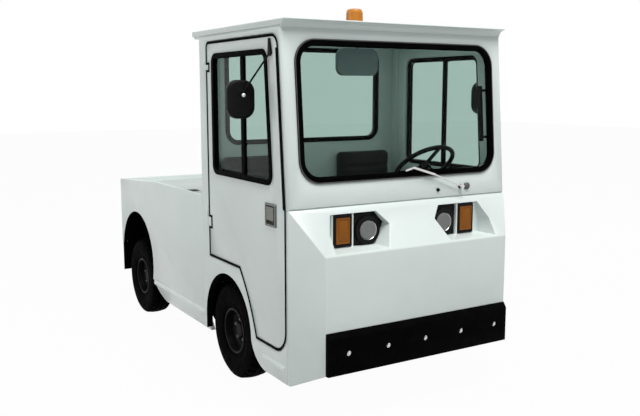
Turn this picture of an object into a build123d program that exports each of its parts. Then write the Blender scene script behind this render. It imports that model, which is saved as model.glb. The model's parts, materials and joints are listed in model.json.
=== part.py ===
"""Electric aircraft tow tractor with a closed two-seat cab and a flat cargo deck behind it.

Millimetres. +X points forward, +Y to the driver's left, +Z up. The origin lies on the floor under
the middle of the overall box. Places along the tractor are given as distances back from the nose face.
"""
import os
from math import atan2, cos, degrees, radians, sin, sqrt

from build123d import *

os.makedirs("parts", exist_ok=True)

# Overall body
BODY_LENGTH = 3000
BODY_WIDTH = 1490
BUMPER_THICK = 25
HITCH_REACH = 104
SKIN = 25
SIDE_SKIN = 30
FIT = 0.3
DOOR_GAP = 5

# Heights above the floor
SKIRT_Z = 195
BUMPER_Z = 277
BUMPER_TOP_Z = 504
HOOD_Z = 902
SEAM_Z = 1131
EAVES_Z = 2060
ROOF_Z = 2105
BEACON_Z = 2225
SILL_Z = 235
REAR_SILL_Z = 197
CREASE_Z = 348
DECK_Z = 1000
RIM_Z = 1087
RIM_REAR_Z = 1034
TAIL_Z = 506

# Distances back from the nose face
CAB_FRONT = 158
PILLAR_DEPTH = 24
CAB_REAR = 1285
ROOF_FRONT = 186
ROOF_TAIL = 116
ROOF_REAR = CAB_REAR + ROOF_TAIL
FRONT_AXLE = 917
REAR_OVERHANG = 393
REAR_AXLE = BODY_LENGTH - REAR_OVERHANG
RIM_RUN = 870
RIM_BREAK = BODY_LENGTH - RIM_RUN

# Nose
NOSE_CORNER = 126
NOSE_FACE_WIDTH = BODY_WIDTH - 2 * NOSE_CORNER
CAB_RAKE = 0.084
SEAM_GROOVE = (8, 10)

# Wheels and steering
TYRE_R = 295
TYRE_WIDTH = 170
TYRE_INSET = 20
RIM_R = 140
KINGPIN_OFFSET = 170
SPINDLE_R = 32
HUB_CLEAR = 0.5

# Wheel arches: circle centre back from the nose, centre height, radius
FRONT_ARCH_SHIFT, FRONT_ARCH_Z, FRONT_ARCH_R = 16, 328, 320
REAR_ARCH_SHIFT, REAR_ARCH_Z, REAR_ARCH_R = 8, 449, 358
FRONT_ARCH = (FRONT_AXLE + FRONT_ARCH_SHIFT, FRONT_ARCH_Z, FRONT_ARCH_R)
REAR_ARCH = (REAR_AXLE + REAR_ARCH_SHIFT, REAR_ARCH_Z, REAR_ARCH_R)
FRONT_TOE_RUN = 511
FRONT_TOE_R = 200
FRONT_ARCH_TOE = FRONT_AXLE - FRONT_TOE_RUN
SILL_RUN = 525
SILL_TOE_R = 194
SILL_TOE = REAR_AXLE - SILL_RUN

# Frame rails
RAIL_Y = 280
RAIL_WIDTH = 60
RAIL_Z = 385
RAIL_TOP_Z = 465
CROSS_WIDTH = 60
CAB_CROSS_RUN = 45
AXLE_CROSS_RUN = 567

# Doors
DOOR_THICK = 40
DOOR_REAR = 1182
DOOR_WAIST_Z = 720
DOOR_WAIST_RUN, DOOR_HEEL_RUN = 166, 372
DOOR_ARC_R = 1100
DOOR_SILL_Z = 355
DOOR_TOP_Z = 2032
DOOR_TOE_R = 125
WINDOW_FRONT = 325
WINDOW_POST = 82
WINDOW_REAR = DOOR_REAR - WINDOW_POST
WINDOW_Z = 1243
WINDOW_TOP_Z = 1961
WINDOW_R = 62
SEAL = 30
SEAL_PROUD = 6
SEAL_DEPTH = 27
GLASS = 6
DIVIDER = 42
DIVIDER_DEPTH = 18
DIVIDER_AT = 705

# Windscreen and rear window, over the seals
SCREEN_POST = 72.5
SCREEN_WIDTH = BODY_WIDTH - 2 * SCREEN_POST
SCREEN_Z = 1260
SCREEN_TOP_Z = 2008
SCREEN_R = 125
SCREEN_SEAL = 37
REAR_WINDOW_POST = 157.5
REAR_WINDOW_WIDTH = BODY_WIDTH - 2 * REAR_WINDOW_POST
REAR_WINDOW_Z = 1400
REAR_WINDOW_TOP_Z = 2024
REAR_WINDOW_R = 90

# Cab inside
FLOOR_Z = 475
FLOOR_THICK = 10
TOE_BOARD_GAP = 175
SEAT_BOX_Z = 700
SEAT_BOX_FRONT = 505
SEAT_INSET = 320
SEAT_Y = BODY_WIDTH / 2 - SEAT_INSET
WHEEL_BACK, WHEEL_INSET, WHEEL_Z = 540, 310, 1280
WHEEL_CENTRE = (WHEEL_BACK, BODY_WIDTH / 2 - WHEEL_INSET, WHEEL_Z)
COLUMN_TILT = 40
STEERING_R = 190

HALF = BODY_WIDTH / 2
NOSE_X = (BODY_LENGTH + BUMPER_THICK + HITCH_REACH) / 2 - BUMPER_THICK
REAR_X = NOSE_X - BODY_LENGTH
TYRE_Y = HALF - TYRE_INSET - TYRE_WIDTH / 2
KINGPIN_Y = TYRE_Y - KINGPIN_OFFSET
DOOR_FRONT = CAB_FRONT + PILLAR_DEPTH + DOOR_GAP
SCREEN_PLANE = Plane(
    origin=(NOSE_X - CAB_FRONT, 0, SEAM_Z), x_dir=(0, 1, 0), z_dir=(1, 0, CAB_RAKE)
)
COLUMN_PLANE = Plane(
    origin=(NOSE_X - WHEEL_CENTRE[0], WHEEL_CENTRE[1], WHEEL_CENTRE[2]),
    x_dir=(0, 1, 0),
    z_dir=(-sin(radians(COLUMN_TILT)), 0, cos(radians(COLUMN_TILT))),
)


def back(distance):
    """X of a place that lies this far behind the nose face."""
    return NOSE_X - distance


def raked(distance, z):
    """X of a place on the cab front's slope, this far behind the nose face at the seam."""
    return NOSE_X - distance - CAB_RAKE * max(0, z - SEAM_Z)


def side_points(*places):
    """Side-view points from pairs of distance back from the nose and height."""
    return [(back(distance), z) for distance, z in places]


def save(piece, name):
    piece.part.label = name
    export_step(piece.part, f"parts/{name}.step")


def save_pair(piece, name):
    """Write a right-hand piece and its mirror image on the left."""
    save(piece, f"{name}_right")
    with BuildPart() as other:
        mirror(piece.part, about=Plane.XZ)
    save(other, f"{name}_left")


# Frame: two rails, cross members and the rear plate that carries the tow hitch
with BuildPart() as chassis_frame:
    rail_front, rail_rear = back(SKIN), REAR_X + SIDE_SKIN
    rail_middle_z = (RAIL_Z + RAIL_TOP_Z) / 2
    with Locations(((rail_front + rail_rear) / 2, RAIL_Y, rail_middle_z),
                   ((rail_front + rail_rear) / 2, -RAIL_Y, rail_middle_z)):
        Box(rail_front - rail_rear, RAIL_WIDTH, RAIL_TOP_Z - RAIL_Z)
    rear_cross = BODY_LENGTH - SIDE_SKIN - CROSS_WIDTH / 2
    for distance in (CROSS_WIDTH, CAB_REAR + CAB_CROSS_RUN, REAR_AXLE - AXLE_CROSS_RUN, rear_cross):
        with Locations((back(distance), 0, rail_middle_z)):
            Box(CROSS_WIDTH, 2 * RAIL_Y, RAIL_TOP_Z - RAIL_Z)
    with Locations((REAR_X + SIDE_SKIN / 2, 0, RAIL_Z + 20)):
        Box(SIDE_SKIN, 2 * RAIL_Y + RAIL_WIDTH, 190)
save(chassis_frame, "chassis_frame")

# Front axle beam, forked at both ends round the knuckles
YOKE_TOP, YOKE_BOTTOM, YOKE_PLATE = 350, 240, 20
KINGPIN_R = 20
with BuildPart() as front_axle_beam:
    beam_end = KINGPIN_Y - 70
    with BuildSketch(Plane.XZ.offset(-beam_end)):
        with Locations((back(FRONT_AXLE), (YOKE_TOP + YOKE_BOTTOM) / 2)):
            Rectangle(90, YOKE_TOP - YOKE_BOTTOM)
            with Locations((45, 0), (-45, 0)):
                RectangleRounded(56, 52, 8, mode=Mode.SUBTRACT)
    extrude(amount=2 * beam_end)
    for side in (1, -1):
        with Locations((back(FRONT_AXLE), side * (beam_end - 10), (YOKE_TOP + YOKE_BOTTOM) / 2)):
            Box(90, 30, YOKE_TOP - YOKE_BOTTOM)
        for z in (YOKE_TOP - YOKE_PLATE / 2, YOKE_BOTTOM + YOKE_PLATE / 2):
            with BuildSketch(Plane.XY.offset(z - YOKE_PLATE / 2)):
                with Locations((back(FRONT_AXLE), side * (KINGPIN_Y - 40))):
                    Rectangle(90, 80)
                with Locations((back(FRONT_AXLE), side * KINGPIN_Y)):
                    Circle(45)
            extrude(amount=YOKE_PLATE)
    with Locations((back(FRONT_AXLE), KINGPIN_Y, 0), (back(FRONT_AXLE), -KINGPIN_Y, 0)):
        Cylinder(KINGPIN_R + FIT, 800, mode=Mode.SUBTRACT)
save(front_axle_beam, "front_axle_beam")

# Steering knuckle: kingpin boss, spindle and steering arm on the right
ARM_BACK, ARM_THICK = 150, 22
ARM_Z = YOKE_BOTTOM + YOKE_PLATE + 12
with BuildPart() as knuckle:
    with Locations((back(FRONT_AXLE), -KINGPIN_Y, TYRE_R)):
        Cylinder(42, YOKE_TOP - YOKE_BOTTOM - 2 * YOKE_PLATE - 2)
        Cylinder(KINGPIN_R, YOKE_TOP - YOKE_BOTTOM + 12)
    with BuildSketch(Plane.XZ.offset(KINGPIN_Y)):
        with Locations((back(FRONT_AXLE), TYRE_R)):
            Circle(SPINDLE_R)
    extrude(amount=KINGPIN_OFFSET + 20)
    with BuildSketch(Plane.XY.offset(ARM_Z - ARM_THICK / 2)):
        with BuildLine():
            Polyline(
                (back(FRONT_AXLE), -KINGPIN_Y - 22),
                (back(FRONT_AXLE), -KINGPIN_Y + 22),
                (back(FRONT_AXLE + ARM_BACK), -KINGPIN_Y + 16),
                (back(FRONT_AXLE + ARM_BACK), -KINGPIN_Y - 16),
                close=True,
            )
        make_face()
        with Locations((back(FRONT_AXLE + ARM_BACK), -KINGPIN_Y)):
            Circle(24)
            Circle(10 + FIT, mode=Mode.SUBTRACT)
    extrude(amount=ARM_THICK)
save_pair(knuckle, "knuckle")

# Tie rod: a tube above both steering arms, pinned down through their eyes
ROD_R = 14
with BuildPart() as tie_rod:
    rod_y = KINGPIN_Y
    rod_z = ARM_Z + ARM_THICK / 2 + FIT + ROD_R + 4
    with BuildSketch(Plane.XZ.offset(-rod_y)):
        with Locations((back(FRONT_AXLE + ARM_BACK), rod_z)):
            Circle(ROD_R)
    extrude(amount=2 * rod_y)
    rod_x = back(FRONT_AXLE + ARM_BACK)
    with Locations((rod_x, rod_y, rod_z), (rod_x, -rod_y, rod_z)):
        Cylinder(22, 2 * ROD_R + 8)
        Cylinder(10, 2 * (rod_z - ARM_Z + ARM_THICK / 2))
save(tie_rod, "tie_rod")

# Leaf springs: packs of three leaves between each axle and its rail, with hangers at both ends
LEAF_THICK, LEAF_STEP, LEAF_COUNT = 10, 70, 3
with BuildPart() as leaf_springs:
    for axle, seat_z, half_length in ((FRONT_AXLE, YOKE_TOP, 380), (REAR_AXLE, TYRE_R + 55, 325)):
        top_leaf_z = seat_z + (LEAF_COUNT - 1) * LEAF_THICK
        for side in (1, -1):
            with BuildSketch(Plane.XZ.offset(side * RAIL_Y - 25)):
                for leaf in range(LEAF_COUNT):
                    with Locations((back(axle), top_leaf_z - (leaf - 0.5) * LEAF_THICK)):
                        Rectangle(2 * (half_length - leaf * LEAF_STEP), LEAF_THICK)
                for end in (1, -1):
                    with Locations((back(axle) + end * (half_length - 25), (top_leaf_z + RAIL_Z) / 2)):
                        Rectangle(50, RAIL_Z - top_leaf_z)
            extrude(amount=50)
save(leaf_springs, "leaf_springs")

# Driven rear axle: tube, differential housing and the drive motor ahead of it
with BuildPart() as rear_axle:
    axle_half = TYRE_Y - TYRE_WIDTH / 2 - 6
    for radius, half_length in ((55, axle_half), (SPINDLE_R, TYRE_Y + 20), (150, 120)):
        with BuildSketch(Plane.XZ.offset(-half_length)):
            with Locations((back(REAR_AXLE), TYRE_R)):
                Circle(radius)
        extrude(amount=2 * half_length)
    with BuildSketch(Plane.YZ.offset(back(REAR_AXLE))):
        with Locations((0, TYRE_R)):
            Circle(110)
    extrude(amount=520)
save(rear_axle, "rear_axle")

# Traction battery: one plain block on the rails, under the lid
LID_HINGE_RUN, LID_REAR_RUN = 21, 357
LID_HINGE = CAB_REAR + LID_HINGE_RUN
LID_REAR = REAR_AXLE - LID_REAR_RUN
BATTERY_FRONT_GAP, BATTERY_REAR_GAP, BATTERY_SIDE_GAP, BATTERY_HEIGHT = 60, 15, 225, 480
BATTERY_FRONT, BATTERY_REAR = CAB_REAR + BATTERY_FRONT_GAP, LID_REAR - BATTERY_REAR_GAP
with BuildPart() as battery_pack:
    with Locations((back((BATTERY_FRONT + BATTERY_REAR) / 2), 0, RAIL_TOP_Z)):
        Box(
            BATTERY_REAR - BATTERY_FRONT,
            BODY_WIDTH - 2 * BATTERY_SIDE_GAP,
            BATTERY_HEIGHT,
            align=(Align.CENTER, Align.CENTER, Align.MIN),
        )
save(battery_pack, "battery_pack")

# Road wheels: pressed disc with a sunk nut ring, hub cap and hand holes. Table of name, axle, side
RIM_WALL = 14
HUB_R, HUB_FACE, CAP_FACE = 44, 14, 40
DISC_R, DISC_FACE, DISC_THICK = 104, 26, 12
HAND_HOLES, HAND_HOLE_R = 6, 8
WHEELS = (
    ("front_right", FRONT_AXLE, -1),
    ("front_left", FRONT_AXLE, 1),
    ("rear_right", REAR_AXLE, -1),
    ("rear_left", REAR_AXLE, 1),
)
for name, axle, side in WHEELS:
    hub = Plane(origin=(back(axle), side * TYRE_Y, TYRE_R), x_dir=(1, 0, 0), z_dir=(0, side, 0))
    w = TYRE_WIDTH / 2
    with BuildPart() as tyre:
        with BuildSketch(Plane(hub.origin, x_dir=(1, 0, 0), z_dir=Vector(1, 0, 0).cross(hub.z_dir))):
            with BuildLine():
                Polyline(
                    (RIM_R + FIT, -w + 22), (RIM_R + 18, -w + 6), (TYRE_R - 70, -w), (TYRE_R - 30, -w + 3),
                    (TYRE_R - 6, -w + 20), (TYRE_R, 0), (TYRE_R - 6, w - 20), (TYRE_R - 30, w - 3),
                    (TYRE_R - 70, w), (RIM_R + 18, w - 6), (RIM_R + FIT, w - 22), close=True,
                )
            make_face()
        revolve(axis=Axis(hub.origin, hub.z_dir))
    save(tyre, f"tyre_{name}")
    with BuildPart() as rim:
        with BuildSketch(Plane(hub.origin, x_dir=(1, 0, 0), z_dir=Vector(1, 0, 0).cross(hub.z_dir))):
            with BuildLine():
                disc_in = RIM_R - RIM_WALL
                Polyline(
                    (SPINDLE_R + HUB_CLEAR, -20), (60, -20), (60, HUB_FACE - DISC_THICK),
                    (DISC_R - 12, HUB_FACE - DISC_THICK), (DISC_R, DISC_FACE - DISC_THICK),
                    (disc_in, DISC_FACE - DISC_THICK), (disc_in, -w + RIM_WALL), (RIM_R, -w + RIM_WALL),
                    (RIM_R, w - RIM_WALL), (disc_in, w - RIM_WALL), (disc_in, DISC_FACE), (DISC_R, DISC_FACE),
                    (DISC_R - 16, HUB_FACE), (HUB_R, HUB_FACE), (HUB_R, CAP_FACE - 6), (HUB_R - 6, CAP_FACE),
                    (0, CAP_FACE), (0, CAP_FACE - 16), (SPINDLE_R + HUB_CLEAR, CAP_FACE - 16), close=True,
                )
            make_face()
        revolve(axis=Axis(hub.origin, hub.z_dir))
        with BuildSketch(hub):
            with PolarLocations((DISC_R + disc_in) / 2, HAND_HOLES):
                Circle(HAND_HOLE_R)
        extrude(amount=DISC_FACE + 1, mode=Mode.SUBTRACT)
    save(rim, f"rim_{name}")

# Door outline in side view, shared by the doors and by the openings that they close
with BuildSketch(Plane.XZ) as door_outline:
    arch_back, arch_z, arch_r = FRONT_ARCH
    with BuildLine():
        arc = RadiusArc(
            (back(FRONT_AXLE - DOOR_WAIST_RUN), DOOR_WAIST_Z),
            (back(FRONT_AXLE - DOOR_HEEL_RUN), DOOR_SILL_Z),
            DOOR_ARC_R,
        )
        Polyline(
            arc @ 1,
            (back(DOOR_FRONT), DOOR_SILL_Z),
            (back(DOOR_FRONT), SEAM_Z),
            (raked(DOOR_FRONT, DOOR_TOP_Z), DOOR_TOP_Z),
            (back(DOOR_REAR), DOOR_TOP_Z),
            (back(DOOR_REAR), DOOR_WAIST_Z),
            arc @ 0,
        )
    make_face()
    corners = door_outline.vertices()
    fillet(corners.group_by(Axis.Y)[0].sort_by(Axis.X)[-1], DOOR_TOE_R)
    top_corners = door_outline.vertices().group_by(Axis.Y)[-1].sort_by(Axis.X)
    fillet(top_corners[-1], 70)
    top_corners = door_outline.vertices().group_by(Axis.Y)[-1].sort_by(Axis.X)
    fillet(top_corners[0], 35)

# Door window outline, over its seal
with BuildSketch(Plane.XZ) as window_outline:
    with BuildLine():
        Polyline(
            (back(WINDOW_REAR), WINDOW_Z),
            (raked(WINDOW_FRONT, WINDOW_Z) + CAB_RAKE * (WINDOW_Z - SEAM_Z), WINDOW_Z),
            (raked(WINDOW_FRONT, WINDOW_TOP_Z) + CAB_RAKE * (WINDOW_Z - SEAM_Z), WINDOW_TOP_Z),
            (back(WINDOW_REAR), WINDOW_TOP_Z),
            close=True,
        )
    make_face()
    fillet(window_outline.vertices(), WINDOW_R)

# Fixed side of the cab: rear post, rail over the door, wing round the front wheel, skirt and hinge leaves
HINGE_R, HINGE_PIN_R, HINGE_LEAF, HINGE_LEAF_THICK = 9, 4, 40, 6
HINGES = ((911, 1024), (1866, 1927))
HINGE_X = back(DOOR_REAR + DOOR_GAP / 2)
HINGE_Y = -HALF - HINGE_R
with BuildPart() as cab_side:
    with BuildSketch(Plane.XZ.offset(HALF - DOOR_THICK)):
        with BuildLine():
            front_edge = CAB_FRONT + PILLAR_DEPTH
            toe = RadiusArc((back(FRONT_ARCH_TOE), SKIRT_Z), (back(arch_back - arch_r), arch_z), FRONT_TOE_R)
            Polyline(
                toe @ 1,
                (back(arch_back + arch_r), arch_z),
                (back(arch_back + arch_r), SILL_Z),
                (back(CAB_REAR), SILL_Z),
                (back(CAB_REAR), EAVES_Z),
                (raked(front_edge, EAVES_Z), EAVES_Z),
                (back(front_edge), SEAM_Z),
                (back(front_edge), SKIRT_Z),
                toe @ 0,
            )
        make_face()
        with Locations((back(arch_back), arch_z)):
            Circle(arch_r, mode=Mode.SUBTRACT)
        offset(door_outline.sketch_local, amount=DOOR_GAP, mode=Mode.SUBTRACT)
        with BuildLine():
            Polyline(
                (back(front_edge) + 20, DOOR_SILL_Z + DOOR_TOE_R),
                (back(front_edge) - 8, DOOR_SILL_Z + DOOR_TOE_R),
                (back(front_edge) - 8, SEAM_Z),
                (raked(front_edge, DOOR_TOP_Z) - 8, DOOR_TOP_Z - 80),
                (raked(front_edge, DOOR_TOP_Z) + 80, DOOR_TOP_Z - 80),
                close=True,
            )
        make_face(mode=Mode.SUBTRACT)
    extrude(amount=DOOR_THICK)
    for low, high in HINGES:
        middle = (low + high) / 2
        with BuildSketch(Plane.XY.offset(middle + FIT)):
            with Locations((HINGE_X, HINGE_Y)):
                Circle(HINGE_R)
            with Locations((HINGE_X - HINGE_LEAF / 2, -HALF - HINGE_LEAF_THICK / 2)):
                Rectangle(HINGE_LEAF, HINGE_LEAF_THICK)
        extrude(amount=high - middle - FIT)
        with BuildSketch(Plane.XY.offset(low)):
            with Locations((HINGE_X, HINGE_Y)):
                Circle(HINGE_PIN_R)
        extrude(amount=high - low)
save_pair(cab_side, "cab_side")

# Door panels with their window openings and the lower halves of the hinges
with BuildPart() as door:
    with BuildSketch(Plane.XZ.offset(HALF - DOOR_THICK)):
        add(door_outline.sketch_local)
        add(window_outline.sketch_local, mode=Mode.SUBTRACT)
    extrude(amount=DOOR_THICK)
    for low, high in HINGES:
        middle = (low + high) / 2
        with BuildSketch(Plane.XY.offset(low)):
            with Locations((HINGE_X, HINGE_Y)):
                Circle(HINGE_R)
            with Locations((HINGE_X + HINGE_LEAF / 2, -HALF - HINGE_LEAF_THICK / 2)):
                Rectangle(HINGE_LEAF, HINGE_LEAF_THICK)
            with Locations((HINGE_X, HINGE_Y)):
                Circle(HINGE_PIN_R + FIT, mode=Mode.SUBTRACT)
        extrude(amount=middle - low - FIT)
save_pair(door, "door")

# Rubber seal round each door window, with the post between its two panes
DIVIDER_X = back(DIVIDER_AT)
with BuildPart() as door_seal:
    with BuildSketch(Plane.XZ.offset(HALF - SEAL_DEPTH)):
        offset(window_outline.sketch_local, amount=-FIT)
        offset(window_outline.sketch_local, amount=-SEAL, mode=Mode.SUBTRACT)
    extrude(amount=SEAL_DEPTH + SEAL_PROUD)
    with BuildSketch(Plane.XZ.offset(HALF - SEAL_DEPTH)):
        with Locations((DIVIDER_X, (WINDOW_Z + WINDOW_TOP_Z) / 2)):
            Rectangle(DIVIDER, WINDOW_TOP_Z - WINDOW_Z - 2 * SEAL + 2)
    extrude(amount=DIVIDER_DEPTH)
save_pair(door_seal, "door_seal")

# Two panes in each door
with BuildPart() as door_glass:
    with BuildSketch(Plane.XZ.offset(HALF - DOOR_THICK / 2 - GLASS / 2)):
        offset(window_outline.sketch_local, amount=-SEAL - FIT)
        with Locations((DIVIDER_X, (WINDOW_Z + WINDOW_TOP_Z) / 2)):
            Rectangle(DIVIDER + 2 * FIT, WINDOW_TOP_Z, mode=Mode.SUBTRACT)
    extrude(amount=GLASS)
save_pair(door_glass, "door_glass")

# Paddle latch plate on each door
LATCH = (350, 1088, 120, 125)
with BuildPart() as door_latch:
    with BuildSketch(Plane.XZ.offset(HALF)):
        with Locations((back(LATCH[0]), LATCH[1])):
            RectangleRounded(LATCH[2], LATCH[3], 8)
    extrude(amount=8)
    with BuildSketch(Plane.XZ.offset(HALF + 3)):
        with Locations((back(LATCH[0]), LATCH[1])):
            RectangleRounded(LATCH[2] - 24, LATCH[3] - 24, 5)
    extrude(amount=10, mode=Mode.SUBTRACT)
    with BuildSketch(Plane.XZ.offset(HALF + 2)):
        with Locations((back(LATCH[0]), LATCH[1] + 8)):
            RectangleRounded(LATCH[2] - 40, LATCH[3] - 52, 4)
    extrude(amount=8)
save_pair(door_latch, "door_latch")

# Outside mirror on each door: clamp, thin arm and rounded head that looks back
MIRROR_HEAD = (160, 203, 34)
MIRROR_R = 62
MIRROR_BACK, MIRROR_REACH, MIRROR_Z = 466, 107, 1697
MIRROR_AT = (MIRROR_BACK, HALF + MIRROR_REACH, MIRROR_Z)
MIRROR_CLAMP = (345, 1965)
CLAMP_HALF, CLAMP_PROUD = 45, 12
with BuildPart() as door_mirror:
    with BuildSketch(Plane.XZ.offset(HALF)):
        with BuildLine():
            clamp_x, clamp_z = back(MIRROR_CLAMP[0]), MIRROR_CLAMP[1]
            Polyline(
                (clamp_x - 4, clamp_z + CLAMP_HALF), (clamp_x + 4, clamp_z + CLAMP_HALF),
                (clamp_x + 24, clamp_z - CLAMP_HALF + 12), (clamp_x + 6, clamp_z - CLAMP_HALF),
                (clamp_x - 10, clamp_z - CLAMP_HALF), close=True,
            )
        make_face()
    extrude(amount=CLAMP_PROUD)
    clamp_end = Vector(clamp_x, -HALF - CLAMP_PROUD / 2, clamp_z - CLAMP_HALF + 12)
    head_end = Vector(back(MIRROR_AT[0] + 10), -MIRROR_AT[1], MIRROR_AT[2] + 20)
    with BuildSketch(Plane(origin=clamp_end, z_dir=head_end - clamp_end)):
        Circle(5)
    extrude(amount=(head_end - clamp_end).length)
    head_origin = (back(MIRROR_AT[0]), -MIRROR_AT[1], MIRROR_AT[2])
    with BuildSketch(Plane(origin=head_origin, x_dir=(0, 1, 0), z_dir=(-1, 0, 0))):
        RectangleRounded(MIRROR_HEAD[0], MIRROR_HEAD[1], MIRROR_R)
    extrude(amount=MIRROR_HEAD[2])
    head_faces = door_mirror.faces().filter_by(Axis.X).sort_by(SortBy.AREA)[-2:]
    fillet(head_faces.sort_by(Axis.X)[-1].outer_wire().edges(), 14)
save_pair(door_mirror, "door_mirror")

# Rear body sides: flat plate folded inwards below the crease, with the rear wheel arch
with BuildPart() as rear_side:
    fold_in, fold_y = 45, HALF - SIDE_SKIN
    with BuildSketch(Plane.YZ.offset(REAR_X)):
        with BuildLine():
            Polyline(
                (-HALF, RIM_Z), (-HALF, CREASE_Z), (-HALF + fold_in, REAR_SILL_Z),
                (-fold_y + fold_in, REAR_SILL_Z), (-fold_y, CREASE_Z), (-fold_y, RIM_Z), close=True,
            )
        make_face()
    extrude(amount=BODY_LENGTH - CAB_REAR)
    rear_back, rear_z, rear_r = REAR_ARCH
    crease_run = sqrt(rear_r**2 - (CREASE_Z - rear_z) ** 2)
    with BuildSketch(Plane.XZ.offset(HALF - 300)):
        with Locations((back(rear_back), rear_z)):
            Circle(rear_r)
        with BuildLine():
            toe = RadiusArc(
                (back(rear_back - crease_run), CREASE_Z), (back(SILL_TOE), REAR_SILL_Z - 1), -SILL_TOE_R
            )
            Polyline(
                toe @ 1,
                *side_points(
                    (SILL_TOE, REAR_SILL_Z - 100), (BODY_LENGTH + 1, REAR_SILL_Z - 100),
                    (BODY_LENGTH + 1, TAIL_Z), (rear_back, TAIL_Z), (rear_back, CREASE_Z),
                ),
                toe @ 0,
            )
        make_face()
        with BuildLine():
            Polyline(
                side_points(
                    (RIM_BREAK, RIM_Z), (BODY_LENGTH, RIM_REAR_Z), (BODY_LENGTH + 10, RIM_REAR_Z),
                    (BODY_LENGTH + 10, RIM_Z + 10), (RIM_BREAK, RIM_Z + 10),
                ),
                close=True,
            )
        make_face()
    extrude(amount=400, mode=Mode.SUBTRACT)
save_pair(rear_side, "rear_side")

# Rear panel between the body sides
with BuildPart() as rear_panel:
    with Locations((REAR_X + SIDE_SKIN / 2, 0, (TAIL_Z + RIM_REAR_Z) / 2)):
        Box(SIDE_SKIN, BODY_WIDTH - 2 * SIDE_SKIN, RIM_REAR_Z - TAIL_Z)
save(rear_panel, "rear_panel")

# Fixed deck behind the battery lid, the hinge strip ahead of it and the ledge that the lid lies on
DECK_THICK = 15
LID_HINGE_R, LID_PIN_R = 8, 4
LID_BARRELS = ((-300, -60), (60, 300))
deck_half = HALF - SIDE_SKIN
lid_half = deck_half - 10
with BuildPart() as cargo_deck:
    with BuildSketch(Plane.XY.offset(DECK_Z - DECK_THICK)):
        with BuildLine():
            Polyline(
                (back(LID_REAR + DOOR_GAP), -deck_half), (back(LID_REAR + DOOR_GAP), deck_half),
                (REAR_X + SIDE_SKIN, deck_half), (REAR_X + SIDE_SKIN, -deck_half), close=True,
            )
        make_face()
        with Locations((back((CAB_REAR + LID_HINGE - LID_HINGE_R - 2) / 2), 0)):
            Rectangle(LID_HINGE - LID_HINGE_R - 2 - CAB_REAR, 2 * deck_half)
    extrude(amount=DECK_THICK)
    with Locations((back(LID_REAR), 0, DECK_Z - DECK_THICK - FIT - 4)):
        Box(40, 2 * deck_half, 8)
    with Locations((back(LID_REAR + DOOR_GAP + 8), 0, DECK_Z - DECK_THICK - 2)):
        Box(16, 2 * deck_half, 6)
    for low, high in ((-330, -302), (-58, 58), (302, 330)):
        with BuildSketch(Plane.XZ.offset(-high)):
            with Locations((back(LID_HINGE), DECK_Z)):
                Circle(LID_HINGE_R)
            with Locations((back(LID_HINGE - 7), DECK_Z - 4)):
                Rectangle(14, 8)
        extrude(amount=high - low)
    with BuildSketch(Plane.XZ.offset(-330)):
        with Locations((back(LID_HINGE), DECK_Z)):
            Circle(LID_PIN_R)
    extrude(amount=660)
save(cargo_deck, "cargo_deck")

# Battery lid, hinged along its front edge behind the cab
with BuildPart() as battery_lid:
    with BuildSketch(Plane.XY.offset(DECK_Z - DECK_THICK)):
        with BuildLine():
            Polyline(
                (back(LID_HINGE + LID_HINGE_R + 2), -lid_half), (back(LID_HINGE + LID_HINGE_R + 2), lid_half),
                (back(LID_REAR), lid_half), (back(LID_REAR), -lid_half), close=True,
            )
        make_face()
    extrude(amount=DECK_THICK)
    for low, high in LID_BARRELS:
        with BuildSketch(Plane.XZ.offset(-high)):
            with Locations((back(LID_HINGE), DECK_Z)):
                Circle(LID_HINGE_R)
            with Locations((back(LID_HINGE + 7), DECK_Z - 4)):
                Rectangle(14, 8)
            with Locations((back(LID_HINGE), DECK_Z)):
                Circle(LID_PIN_R + FIT, mode=Mode.SUBTRACT)
        extrude(amount=high - low)
save(battery_lid, "battery_lid")

# Nose: folded sheet with a chamfer at each corner, a sloped hood and a wedge pocket for each lamp pair.
# A pocket's outline is given as distances in from the edge of the nose face, and heights
face_half = NOSE_FACE_WIDTH / 2
POCKET = ((405, 912), (462, 1030), (401, 1096), (109, 1096), (69, 1005), (69, 912))
POCKET_BACK = CAB_FRONT + 2
POCKET_WALL = 12
LAMP_DEPTH = 20
HEADLAMP = (face_half - 355, 994, 79)
INDICATOR = (face_half - 191, 1004, 118, 172)
SLEEVE_WALL = 11
pocket_points = [(face_half - inward, z) for inward, z in POCKET]
pocket_in, pocket_out = min(y for y, z in pocket_points), max(y for y, z in pocket_points)
pocket_low, pocket_high = min(z for y, z in pocket_points), max(z for y, z in pocket_points)


def nose_block(inset):
    """The nose's outer form, or its hollow when inset by the sheet's thickness."""
    with BuildPart() as block:
        with BuildSketch(Plane.XZ.offset(-HALF + inset)):
            with BuildLine():
                Polyline(
                    (back(inset), BUMPER_Z - inset * 4),
                    (back(inset), HOOD_Z - inset / 2),
                    (back(CAB_FRONT), SEAM_Z - inset * 1.4),
                    (back(CAB_FRONT + PILLAR_DEPTH + inset), SEAM_Z - inset * 1.4),
                    (back(CAB_FRONT + PILLAR_DEPTH + inset), SKIRT_Z - inset * 4),
                    (back(CAB_FRONT), SKIRT_Z - inset * 4),
                    close=True,
                )
            make_face()
        extrude(amount=2 * (HALF - inset))
        with BuildSketch(Plane.XY):
            with BuildLine():
                Polyline(
                    (back(inset), -face_half + inset * 0.4), (back(inset), face_half - inset * 0.4),
                    (back(CAB_FRONT), HALF - inset), (back(CAB_FRONT + PILLAR_DEPTH + inset), HALF - inset),
                    (back(CAB_FRONT + PILLAR_DEPTH + inset), -HALF + inset), (back(CAB_FRONT), -HALF + inset),
                    close=True,
                )
            make_face()
        extrude(amount=ROOF_Z, mode=Mode.INTERSECT)
    return block.part


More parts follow.
